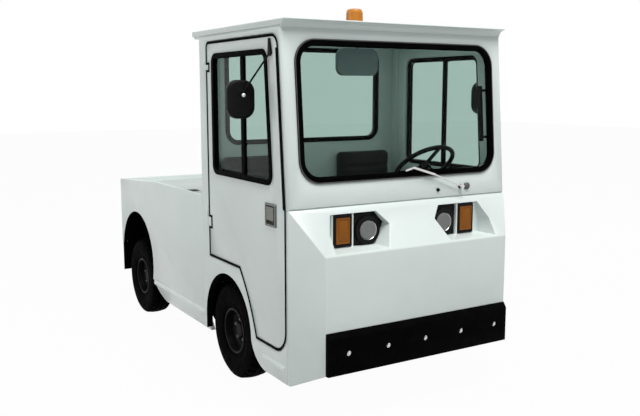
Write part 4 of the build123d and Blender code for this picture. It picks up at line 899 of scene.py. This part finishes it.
# rear end, front end, middle height
STEPS = ((-0.695, 0.266, 0.326), (1.075, 1.335, 0.272))
for hand, side in HANDS:
    steps = []
    for rear, front, height in STEPS:
        long = front - rear
        place = ((rear + front) / 2, side * (SIDE_FACE - STEP_ROOT / 2 + STEP_PROUD), height)
        step = cuboid("step", place, (long, STEP_ROOT, STEP_TALL))
        pick_faces(step, looking(0, side, 0))
        bpy.ops.mesh.extrude_region_move(TRANSFORM_OT_translate={"value": (0, side * STEP_RISE, 0)})
        bpy.ops.transform.resize(value=(1 - STEP_TAPER / long, 1, STEP_NARROW))
        bpy.ops.object.mode_set(mode="OBJECT")
        steps.append(bevelled(step, 0.003, 3, 20))
    finished(joined(steps, "sill_moulding_" + hand), white_paint, "chassis")
print("sill mouldings", len(HANDS) * len(STEPS))

# %% [markdown]
# ## Headlamps
# A sealed lamp has a bright bowl, a small bulb and a front glass with upright ribs that spread the beam. The
# bowl and the glass are spun from short sections. The ribs are a wave bump in the lens finish, because at this
# size they only bend the light.

# %% Ribbed glass
RIB_SCALE, RIB_WAVER = 38, 0.2
RIB_STRENGTH, RIB_HEIGHT = 0.9, 0.003
ribbed_glass, shader = plain_material(
    "ribbed_glass", (0.30, 0.30, 0.30, 1), Roughness=0.16, Transmission_Weight=0.35, IOR=1.5
)
tree = ribbed_glass.node_tree
coordinates = tree.nodes.new("ShaderNodeTexCoord")
ribs = tree.nodes.new("ShaderNodeTexWave")
ribs.bands_direction = "Y"
ribs.inputs["Scale"].default_value = RIB_SCALE
ribs.inputs["Distortion"].default_value = RIB_WAVER
tree.links.new(coordinates.outputs["Object"], ribs.inputs["Vector"])
tree.links.new(bumped(tree, ribs.outputs["Fac"], RIB_STRENGTH, RIB_HEIGHT), shader.inputs["Normal"])
print("finish", ribbed_glass.name)

# %% Reflectors, bulbs and glasses
LAMP_Y, LAMP_Z, LENS_R = 0.264, 0.994, 0.0535
lens_back, lens_front = (corner.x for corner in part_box("headlamp_lenses"))
# radius, depth as a share of the lens
BOWL = ((0.012, 0.05), (0.022, 0.08), (0.036, 0.25), (0.048, 0.55), (LENS_R, 0.90))
GLASS = (
    (0.0001, 1.0), (0.020, 0.985), (0.040, 0.93), (LENS_R - 0.002, 0.82), (LENS_R, 0.70), (LENS_R - 0.003, 0.68),
    (0.040, 0.76), (0.020, 0.80), (0.0001, 0.815),
)
BULB = ((0.0001, 0.62), (0.004, 0.58), (0.0055, 0.45), (0.0055, 0.20), (0.011, 0.12))


def lamp_part(name, section, y, steps=32):
    """A round lamp part from a section of radius and depth."""
    depth = lens_front - lens_back
    places = [(lens_back + share * depth, y, LAMP_Z + radius) for radius, share in section]
    part = spun(name, places, (lens_back, y, LAMP_Z), (1, 0, 0), steps)
    bpy.ops.object.shade_smooth_by_angle(angle=radians(50))
    return part


bowls, bulbs, glasses = [], [], []
for y in (-LAMP_Y, LAMP_Y):
    bowls.append(lamp_part("bowl", BOWL, y))
    bulbs.append(lamp_part("bulb", BULB, y, 16))
    glasses.append(lamp_part("glass", GLASS, y, 48))
finished(joined(bowls, "headlamp_bowls"), reflector_silver, "chassis")
finished(joined(bulbs, "headlamp_bulbs"), clear_lens, "chassis")
finished(joined(glasses, "headlamp_glasses"), ribbed_glass, "chassis", "headlamp_lenses", slot="clear_lens")

# %% [markdown]
# ## Indicator lenses and beacon
# The amber lenses are moulded with softened edges and a raised frame line. The beacon lens is fluted so that
# its turning light shows all round: a cylinder is spun from a section and every second step is pushed in.

# %% Indicator lenses
INDICATOR_Y, INDICATOR_Z = 0.428, 1.004
INDICATOR_WIDE, INDICATOR_TALL = 0.086, 0.1394
# inset and move of the groove inside the frame line, and of the field in it
GROOVE, FIELD = (0.006, (-0.003, 0, 0)), (0.010, (0.002, 0, 0))
lens_low, lens_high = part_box("indicator_lenses")
lens_size = (lens_high.x - lens_low.x, INDICATOR_WIDE, INDICATOR_TALL)
lenses = []
for side in (-1, 1):
    lens = cuboid("lens", ((lens_low.x + lens_high.x) / 2, side * INDICATOR_Y, INDICATOR_Z), lens_size)
    lenses.append(bevelled(pressed(lens, looking(1, 0, 0), GROOVE, FIELD), 0.0015))
finished(joined(lenses, "indicator_glasses"), amber_lens, "chassis", "indicator_lenses")
print("indicator lenses", len(lenses))

# %% Fluted beacon lens
low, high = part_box("beacon_lens")
beacon_x, beacon_r = (low.x + high.x) / 2, (high.x - low.x) / 2
tall = high.z - low.z
BEACON_STEPS, FLUTE_DEPTH = 72, 0.002
# the flutes' lower and upper end as shares of the height
FLUTE_LOW, FLUTE_HIGH = 0.1, 0.7
# radius share, height share
DOME = (
    (1.0, 0.0), (1.0, 0.06), (0.97, 0.08), (0.955, 0.70), (0.93, 0.80), (0.86, 0.90), (0.72, 0.96), (0.4, 0.99),
    (0.001, 1.0),
)
places = [(beacon_x + beacon_r * share, 0, low.z + tall * height) for share, height in DOME]
beacon = spun("beacon_glass", places, (beacon_x, 0, low.z), (0, 0, 1), BEACON_STEPS)


def flute(centre, normal):
    """Every second upright face of the lens."""
    step = int((atan2(centre.y, centre.x - beacon_x) % tau) / tau * BEACON_STEPS)
    upright = abs(normal.z) < 0.1 and low.z + FLUTE_LOW * tall < centre.z < low.z + FLUTE_HIGH * tall
    return upright and step % 2 == 0


pick_faces(beacon, flute)
bpy.ops.mesh.extrude_region_shrink_fatten(TRANSFORM_OT_shrink_fatten={"value": -FLUTE_DEPTH})
bpy.ops.object.mode_set(mode="OBJECT")
bpy.ops.object.shade_smooth_by_angle(angle=radians(30))
finished(beacon, beacon_amber, "chassis", "beacon_lens", slot="amber_lens")
print("beacon faces", len(beacon.data.polygons))

# %% [markdown]
# ## Mirror glasses
# Each mirror is a moulded shell with its glass let into the side that looks back. The glass is a rounded plate,
# so it is drawn from a cube: the four short edges get the large radius of the corners, and then all edges a
# small one.

# %% Glass plates of the mirrors
GLASS_THICK = 0.003
# node, body, middle across and up, width and height, corner radius
MIRRORS = (
    ("door_mirror_right", "door_right", (-0.852, 1.697), (0.128, 0.171), 0.050),
    ("door_mirror_left", "door_left", (0.852, 1.697), (0.128, 0.171), 0.050),
    ("cab_mirror", "chassis", (-0.206, 1.898), (0.236, 0.122), 0.036),
)
for node, body, middle, size, corner in MIRRORS:
    plate = cuboid(node + "_glass", (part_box(node)[0].x, *middle), (GLASS_THICK, *size))
    points = plate.data.vertices
    pick(
        plate, "EDGE", plate.data.edges,
        lambda edge: abs(points[edge.vertices[0]].co.x - points[edge.vertices[1]].co.x) > GLASS_THICK / 2,
    )
    bpy.ops.mesh.bevel(offset=corner, segments=8, affect="EDGES")
    bpy.ops.object.mode_set(mode="OBJECT")
    finished(bevelled(plate, 0.0008), mirror_glass, body, slot="latch_metal")
print("mirror glasses", len(MIRRORS))

# %% [markdown]
# ## Wiper
# The arm is bare steel and the blade below it is rubber. The CAD wiper is one solid, so two copies of it are
# cut along a plane parallel to the windscreen: the upper one keeps the arm, the lower one the blade and the
# foot of the pivot.

# %% Arm, blade, pivot boss and washer nozzle
SCREEN_FOOT = Vector((1.3815, 0, 1.131))
SCREEN_OUT = Vector(SCREEN_FACING).normalized()
CUT_HEIGHT = 0.0185
for name, finish, keep_upper in (("wiper_arm", zinc_steel, True), ("wiper_blade", black_rubber, False)):
    half = merged_copy("wiper", name)
    bpy.ops.object.mode_set(mode="EDIT")
    bpy.ops.mesh.select_all(action="SELECT")
    bpy.ops.mesh.bisect(
        plane_co=SCREEN_FOOT + SCREEN_OUT * CUT_HEIGHT, plane_no=SCREEN_OUT, use_fill=True,
        clear_inner=keep_upper, clear_outer=not keep_upper,
    )
    bpy.ops.object.mode_set(mode="OBJECT")
    finished(bevelled(half, 0.001), finish, "chassis", "wiper")


def on_screen(y, z):
    """A place on the windscreen's plane at a given Y and height."""
    up = z - SCREEN_FOOT.z
    return SCREEN_FOOT + Vector((-SCREEN_LEAN * up, y, up))


def turned_knob(name, foot, axis, section, steps=24):
    """A round piece from a section of radius and rise, standing on a place along an axis."""
    axis = Vector(axis).normalized()
    across = axis.orthogonal().normalized()
    knob = spun(name, [foot + axis * rise + across * radius for radius, rise in section], foot, axis, steps)
    bpy.ops.object.shade_smooth_by_angle(angle=radians(40))
    return knob


# radius, rise
BOSS = ((0.020, 0.0), (0.020, 0.010), (0.016, 0.014), (0.010, 0.016), (0.0001, 0.016))
NOZZLE = ((0.011, 0.0), (0.011, 0.004), (0.007, 0.009), (0.005, 0.016), (0.0001, 0.018))
BOSS_PLACE, NOZZLE_PLACE = (0.449, 1.190), (0.235, 1.180)
finished(turned_knob("wiper_boss", on_screen(*BOSS_PLACE), SCREEN_OUT, BOSS), bare_casting, "chassis")
finished(turned_knob("washer_nozzle", on_screen(*NOZZLE_PLACE), SCREEN_OUT, NOZZLE), black_plastic, "chassis")
print("wiper pieces", 4)

# %% [markdown]
# ## Door latch, front seal and mirror screws
# Behind the pull of each latch lies a recess, and a black plate in it is painted shade. Along the front edge of
# the door a second lip of rubber closes the wider gap at the sloped pillar. A bright screw clamps each outside
# mirror on its arm.

# %% Painted-shade plates in the latch recesses, front lips and screws
NOSE_X = 1.5395
LATCH_X, LATCH_Z = 1.1895, 1.088
RECESS_Y, RECESS_SIZE = 0.7484, (0.094, 0.0008, 0.099)
RECESS_RIM, RECESS_DEEP = 0.006, 0.0003
LIP_Y, LIP_THICK = 0.745, 0.003
# back from the nose and height, round the lip
FRONT_LIP = ((0.2005, 1.131), (0.2165, 1.131), (0.2860, 1.960), (0.2720, 1.960))
SCREW_X, SCREW_Y, SCREW_Z = 1.1075, 0.857, 1.719
# radius, rise
SCREW = ((0.011, -0.002), (0.011, 0.003), (0.009, 0.006), (0.005, 0.008), (0.0001, 0.0085))


def slab(name, outline, move):
    """A flat piece from a drawn outline, as thick as the move."""
    piece = drawn_path(name, outline)
    bpy.ops.mesh.select_all(action="SELECT")
    bpy.ops.mesh.edge_face_add()
    bpy.ops.mesh.extrude_region_move(TRANSFORM_OT_translate={"value": move})
    faced_out()
    return piece


for hand, outward in HANDS:
    # a black plate in the latch recess: painted shade
    recess = cuboid("latch_recess_shade_" + hand, (LATCH_X, outward * RECESS_Y, LATCH_Z), RECESS_SIZE)
    pressed(recess, looking(0, outward, 0), (RECESS_RIM, (0, -outward * RECESS_DEEP, 0)))
    finished(bevelled(recess, 0.0002), black_plastic, "door_" + hand)

    outline = [(NOSE_X - back, outward * LIP_Y, z) for back, z in FRONT_LIP]
    lip = slab("front_lip_" + hand, outline, (0, outward * LIP_THICK, 0))
    finished(bevelled(lip, 0.001), black_rubber, "door_" + hand)

    foot = Vector((SCREW_X, outward * SCREW_Y, SCREW_Z))
    finished(turned_knob("mirror_screw_" + hand, foot, (1, 0, 0), SCREW), zinc_steel, "door_" + hand)
print("front lip points", len(lip.data.vertices))

# %% [markdown]
# ## Wheel houses
# The lower part of the cab's rear wall closes the front wheel houses at the back. A thin black plate with folded
# edges covers it on the wheel's side, painted shade for the dark inside of the wheel house.

# %% Black plates of painted shade in the front wheel houses
HOUSE_SHADE_X, HOUSE_SHADE_Y, HOUSE_SHADE_Z = NOSE_X - 1.2545, 0.522, 0.604
HOUSE_SHADE_SIZE = (0.002, 0.350, 0.164)
HOUSE_SHADE_FOLD, HOUSE_SHADE_RISE = 0.02, 0.001
for hand, outward in HANDS:
    place = (HOUSE_SHADE_X + HOUSE_SHADE_SIZE[0] / 2, outward * HOUSE_SHADE_Y, HOUSE_SHADE_Z)
    # black plate: painted shade on the wheel house's rear wall
    shade_plate = cuboid("wheel_house_shade_" + hand, place, HOUSE_SHADE_SIZE)
    pressed(shade_plate, looking(1, 0, 0), (HOUSE_SHADE_FOLD, (HOUSE_SHADE_RISE, 0, 0)))
    finished(bevelled(shade_plate, 0.0006), black_rubber, "chassis")
print("wheel house shade plates", len(HANDS))

# %% [markdown]
# ## Risers under the doorways
# The cab floor lies higher than the skirt, and a pressed plate closes the step between them. It shows only with
# a door open, and it stands inside the door's inner face, so that the door swings clear of it.

# %% A pressed plate behind each skirt
RISER_Y, RISER_THICK = 0.697, 0.004
RISER_REAR, RISER_FRONT, RISER_FOOT = 0.930, 1.352, 0.300
RISER_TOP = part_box("cab_floor")[0].z
RISER_SIZE = (RISER_FRONT - RISER_REAR, RISER_THICK, RISER_TOP - RISER_FOOT)
# width of the flat edge, width and depth of the pressing's slope
RISER_EDGE, RISER_SLOPE, RISER_DEEP = 0.030, 0.008, 0.002
for hand, outward in HANDS:
    place = ((RISER_REAR + RISER_FRONT) / 2, outward * RISER_Y, (RISER_FOOT + RISER_TOP) / 2)
    riser = cuboid("doorway_riser_" + hand, place, RISER_SIZE)
    inwards = (0, -outward * RISER_DEEP, 0)
    pressed(riser, looking(0, outward, 0), (RISER_EDGE, None), (RISER_SLOPE, inwards))
    finished(bevelled(riser, 0.0008), frame_paint, "chassis")
print("doorway risers", len(HANDS), "height", round(RISER_SIZE[2], 3))

# %% [markdown]
# ## Seats
# Foam seats under black vinyl bulge between their seams. A smooth block would look hard, so each pad starts as
# a rounded block that is a little too small, is remeshed into even faces and blown up as cloth. How far a point
# may move is capped, so that the pad stays in the space of its CAD seat. The side that rests on the seat box or
# the wall stays flat, and the sewn channels are pressed in afterwards.


# %% Pads blown up by cloth simulation
PAD_VOXEL, PAD_CAP, PAD_INSET = 0.008, 0.011, 0.012
PAD_PRESSURE, PAD_FRAMES, PAD_REST = 4.0, 20, 0.001
# half width of a seam's own points, reach of its press and depth
SEAM_HALF, SEAM_REACH, SEAM_DEPTH = 0.0022, 0.022, 0.008


def pad(name, low, high, corner, rest_axis, seams):
    """A padded block between two corners, flat on its low side along one axis, with sewn channels."""
    start, end = low + Vector((PAD_INSET,) * 3), high - Vector((PAD_INSET,) * 3)
    start[rest_axis] = low[rest_axis] + PAD_REST
    block = cuboid(name, (start + end) / 2, end - start)
    bevelled(block, corner, 5)
    modified(block, "REMESH", mode="VOXEL", voxel_size=PAD_VOXEL)
    rest = [vertex.co.copy() for vertex in block.data.vertices]
    vinyl = block.modifiers.new("vinyl", "CLOTH")
    vinyl.settings.use_pressure = True
    vinyl.settings.uniform_pressure_force = PAD_PRESSURE
    vinyl.settings.effector_weights.gravity = 0
    vinyl.point_cache.frame_end = PAD_FRAMES
    for step in range(1, PAD_FRAMES + 1):
        bpy.context.scene.frame_set(step)
    bpy.ops.object.modifier_apply(modifier=vinyl.name)
    bpy.context.scene.frame_set(1)
    for vertex, place in zip(block.data.vertices, rest):
        move = vertex.co - place
        if move.length > PAD_CAP:
            vertex.co = place + move * (PAD_CAP / move.length)
        vertex.co[rest_axis] = max(vertex.co[rest_axis], low[rest_axis] + PAD_REST)
    modified(block, "SUBSURF", levels=1, render_levels=1)
    line_axis = 2 - rest_axis
    press = Vector((0, 0, 0))
    press[rest_axis] = -SEAM_DEPTH
    for share in seams:
        line = low[line_axis] + share * (high[line_axis] - low[line_axis])
        pick(
            block, "VERT", block.data.vertices,
            lambda vertex: abs(vertex.co[line_axis] - line) < SEAM_HALF and vertex.normal[rest_axis] > 0.6,
        )
        bpy.ops.transform.translate(
            value=press, use_proportional_edit=True, use_proportional_connected=True,
            proportional_edit_falloff="SMOOTH", proportional_size=SEAM_REACH,
        )
        bpy.ops.object.mode_set(mode="OBJECT")
    bpy.ops.object.shade_smooth()
    return block


# %% Two pads for each seat
SEAT_Y, SEAT_HALF = 0.425, 0.225
# node, name, corner radius, axis of the resting side, places of the seams as shares of the length
PADS = (
    ("seat_cushions", "seat_pad_right", 0.045, 2, (0.3, 0.55, 0.8)),
    ("seat_backs", "back_pad_right", 0.036, 0, (0.25, 0.5, 0.75)),
)
pads = []
for node, name, corner, rest_axis, seams in PADS:
    low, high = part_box(node)
    low = Vector((low.x, -SEAT_Y - SEAT_HALF, low.z))
    high = Vector((high.x, -SEAT_Y + SEAT_HALF, high.z))
    pads.append((pad(name, low, high, corner, rest_axis, seams), node))
for first, node in pads:
    second = copied(first, first.name.replace("right", "left"), (0, 2 * SEAT_Y, 0))
    for piece in (first, second):
        finished(piece, seat_vinyl, "chassis", node)
    print(first.name, "faces", len(first.data.polygons), "box", [round(value, 3) for value in first.dimensions])

# %% [markdown]
# ## Driver's place
# The hood in front of the driver holds two gauges, and rocker switches sit along the lip of the dashboard. A
# horn button closes the hub of the steering wheel. Round pieces are spun about the line that they face along.

# %% Gauges, switches and horn button
GAUGE_OUT = Vector((-0.9885, 0, 0.151))
GAUGE_FOOT, GAUGE_ASIDE, GAUGE_STEPS = Vector((1.1770, 0.435, 1.209)), 0.075, 40
# radius, rise
BEZEL = ((0.034, 0.0), (0.034, 0.004), (0.037, 0.006), (0.041, 0.005), (0.042, 0.0))
FACE = ((0.0335, 0.0), (0.0335, 0.002), (0.0001, 0.002))
NEEDLE = ((0, -0.002, 0), (0.004, 0.008, 0.026), (0, 0.002, 0))
NEEDLE_RISE, NEEDLE_THICK = 0.003, 0.001
needles = []
for number, across in enumerate((-GAUGE_ASIDE, GAUGE_ASIDE)):
    foot = GAUGE_FOOT + Vector((0, across, 0))
    bezel = turned_knob(f"gauge_bezel_{number}", foot, GAUGE_OUT, BEZEL, GAUGE_STEPS)
    finished(bezel, black_plastic, "chassis")
    face = turned_knob(f"gauge_face_{number}", foot, GAUGE_OUT, FACE, GAUGE_STEPS)
    finished(face, dial_ivory, "chassis", slot="black_plastic")
    pivot = foot + GAUGE_OUT * NEEDLE_RISE
    needles.append(slab("needle", [pivot + Vector(place) for place in NEEDLE], GAUGE_OUT * NEEDLE_THICK))
finished(joined(needles, "gauge_needles"), black_plastic, "chassis")

SWITCH_PLACE, SWITCH_TILT = Vector((1.1445, 0.0, 1.1425)), -56.3
SWITCH_SIZE = (0.030, 0.020, 0.012)
SWITCH_Y = (-0.02, 0.03, 0.08, 0.13, 0.18)
rocker = cuboid("rocker", SWITCH_PLACE + Vector((0, SWITCH_Y[0], 0)), SWITCH_SIZE, SWITCH_TILT)
bevelled(rocker, 0.0025, 3)
rockers = [rocker] + [copied(rocker, "rocker", (0, y - SWITCH_Y[0], 0)) for y in SWITCH_Y[1:]]
finished(joined(rockers, "dash_switches"), black_plastic, "chassis")

WHEEL_MIDDLE, WHEEL_AXIS = Vector((0.9995, 0.435, 1.280)), Vector((-0.642788, 0, 0.766044))
# radius, rise
HORN = ((0.030, 0.007), (0.030, 0.010), (0.026, 0.013), (0.014, 0.0155), (0.0001, 0.016))
horn = turned_knob("horn_button", WHEEL_MIDDLE, WHEEL_AXIS, HORN, 32)
finished(horn, visor_grey, "steering_wheel", slot="black_plastic")
print("gauges", 2, "switches", len(SWITCH_Y))

# %% [markdown]
# ## Pedals
# Brake and drive pedal hang from the dashboard. Each is a pad with raised ribs on a flat arm. They have no
# joint, so they ride on the chassis.

# %% Two hanging pedals
PEDAL_X, PEDAL_Z, PEDAL_TILT = 1.235, 0.600, -55
PEDAL_LONG, PEDAL_THICK, PEDAL_CUTS = 0.085, 0.010, 6
ROW_LONG, RIDGE = 0.01214, 0.003
# forward of the pad and height, along the arm
PEDAL_ARM = ((0.012, PEDAL_Z), (0.060, 0.80), (0.060, 1.005))
ARM_DEEP, ARM_WIDE = 0.014, 0.016
# name, place across, width
PEDALS = (("brake_pedal", 0.46, 0.090), ("drive_pedal", 0.33, 0.060))
tilt = radians(PEDAL_TILT)
along, facing = Vector((cos(tilt), 0, -sin(tilt))), Vector((sin(tilt), 0, cos(tilt)))


def ribs_round(middle):
    """A test that passes every second row of faces on the upper side of a pad."""
    def test(centre, normal):
        row = int((centre - middle).dot(along) / ROW_LONG + 10.5)
        return normal.dot(facing) > 0.9 and row % 2 == 0
    return test


for name, y, width in PEDALS:
    middle = Vector((PEDAL_X, y, PEDAL_Z))
    tread = cuboid("tread", middle, (PEDAL_LONG, width, PEDAL_THICK), PEDAL_TILT)
    bpy.ops.object.mode_set(mode="EDIT")
    bpy.ops.mesh.subdivide(number_cuts=PEDAL_CUTS)
    bpy.ops.object.mode_set(mode="OBJECT")
    bevelled(pressed(tread, ribs_round(middle), (0, facing * RIDGE)), 0.0012)
    arm = drawn_path("pedal_arm", [(PEDAL_X + ahead, y - ARM_WIDE / 2, z) for ahead, z in PEDAL_ARM])
    bpy.ops.mesh.select_all(action="SELECT")
    bpy.ops.mesh.extrude_edges_move(TRANSFORM_OT_translate={"value": (ARM_DEEP, 0, 0)})
    bpy.ops.mesh.select_all(action="SELECT")
    bpy.ops.mesh.extrude_region_move(TRANSFORM_OT_translate={"value": (0, ARM_WIDE, 0)})
    faced_out()
    bevelled(arm, 0.002)
    finished(joined([tread, arm], name), black_plastic, "chassis")
print("pedals", len(PEDALS))

# %% [markdown]
# ## Lid handles and tail lamps
# Two drop handles lift the battery lid: a flat plate with a ring lying on it. The tail lamps are red lenses
# with an amber and a clear field, which stand a little proud of the red.

# %% Drop handles
HANDLE_X, HANDLE_Y, HANDLE_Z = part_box("battery_lid")[0].x + 0.07, 0.45, 1.0
PLATE_SIZE = (0.060, 0.110, 0.003)
PLATE_RIM, PLATE_DEEP = 0.008, 0.0015
RING_R, RING_WIRE, RING_RISE, RING_OVAL = 0.026, 0.0042, 0.0075, (0.75, 1.45, 1)
for hand, outward in HANDS:
    y = outward * HANDLE_Y
    plate = cuboid("plate", (HANDLE_X, y, HANDLE_Z + PLATE_SIZE[2] / 2), PLATE_SIZE)
    bevelled(pressed(plate, looking(0, 0, 1), (PLATE_RIM, (0, 0, -PLATE_DEEP))), 0.0008)
    bpy.ops.object.select_all(action="DESELECT")
    bpy.ops.mesh.primitive_torus_add(
        location=(HANDLE_X, y, HANDLE_Z + RING_RISE), major_radius=RING_R, minor_radius=RING_WIRE,
        major_segments=40, minor_segments=12,
    )
    ring = bpy.context.active_object
    bpy.ops.transform.resize(value=RING_OVAL)
    bpy.ops.object.transform_apply(location=True, rotation=True, scale=True)
    bpy.ops.object.shade_smooth()
    finished(joined([plate, ring], "lid_handle_" + hand), latch_metal, "battery_lid")
print("lid handles", len(HANDS))

# %% Fields of the tail lamps
TAIL_X, TAIL_Y, TAIL_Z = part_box("tail_lamps")[0].x - 0.001, 0.600, 0.880
FIELD_DEEP, FIELD_WIDE = 0.004, 0.090
FIELD_RIM, FIELD_SINK = 0.004, 0.001
# name, finish, slot, height of the middle over the lamp's, field height
FIELDS = (
    ("tail_amber", beacon_amber, "amber_lens", 0.062, 0.052),
    ("tail_clear", clear_lens, "clear_lens", -0.068, 0.040),
)
for name, finish, slot, rise, height in FIELDS:
    fields = []
    for side in (-1, 1):
        field = cuboid("field", (TAIL_X, side * TAIL_Y, TAIL_Z + rise), (FIELD_DEEP, FIELD_WIDE, height))
        pressed(field, looking(-1, 0, 0), (FIELD_RIM, (FIELD_SINK, 0, 0)))
        fields.append(bevelled(field, 0.0008))
    finished(joined(fields, name), finish, "chassis", slot=slot)
print("lamp fields", 2 * len(FIELDS))
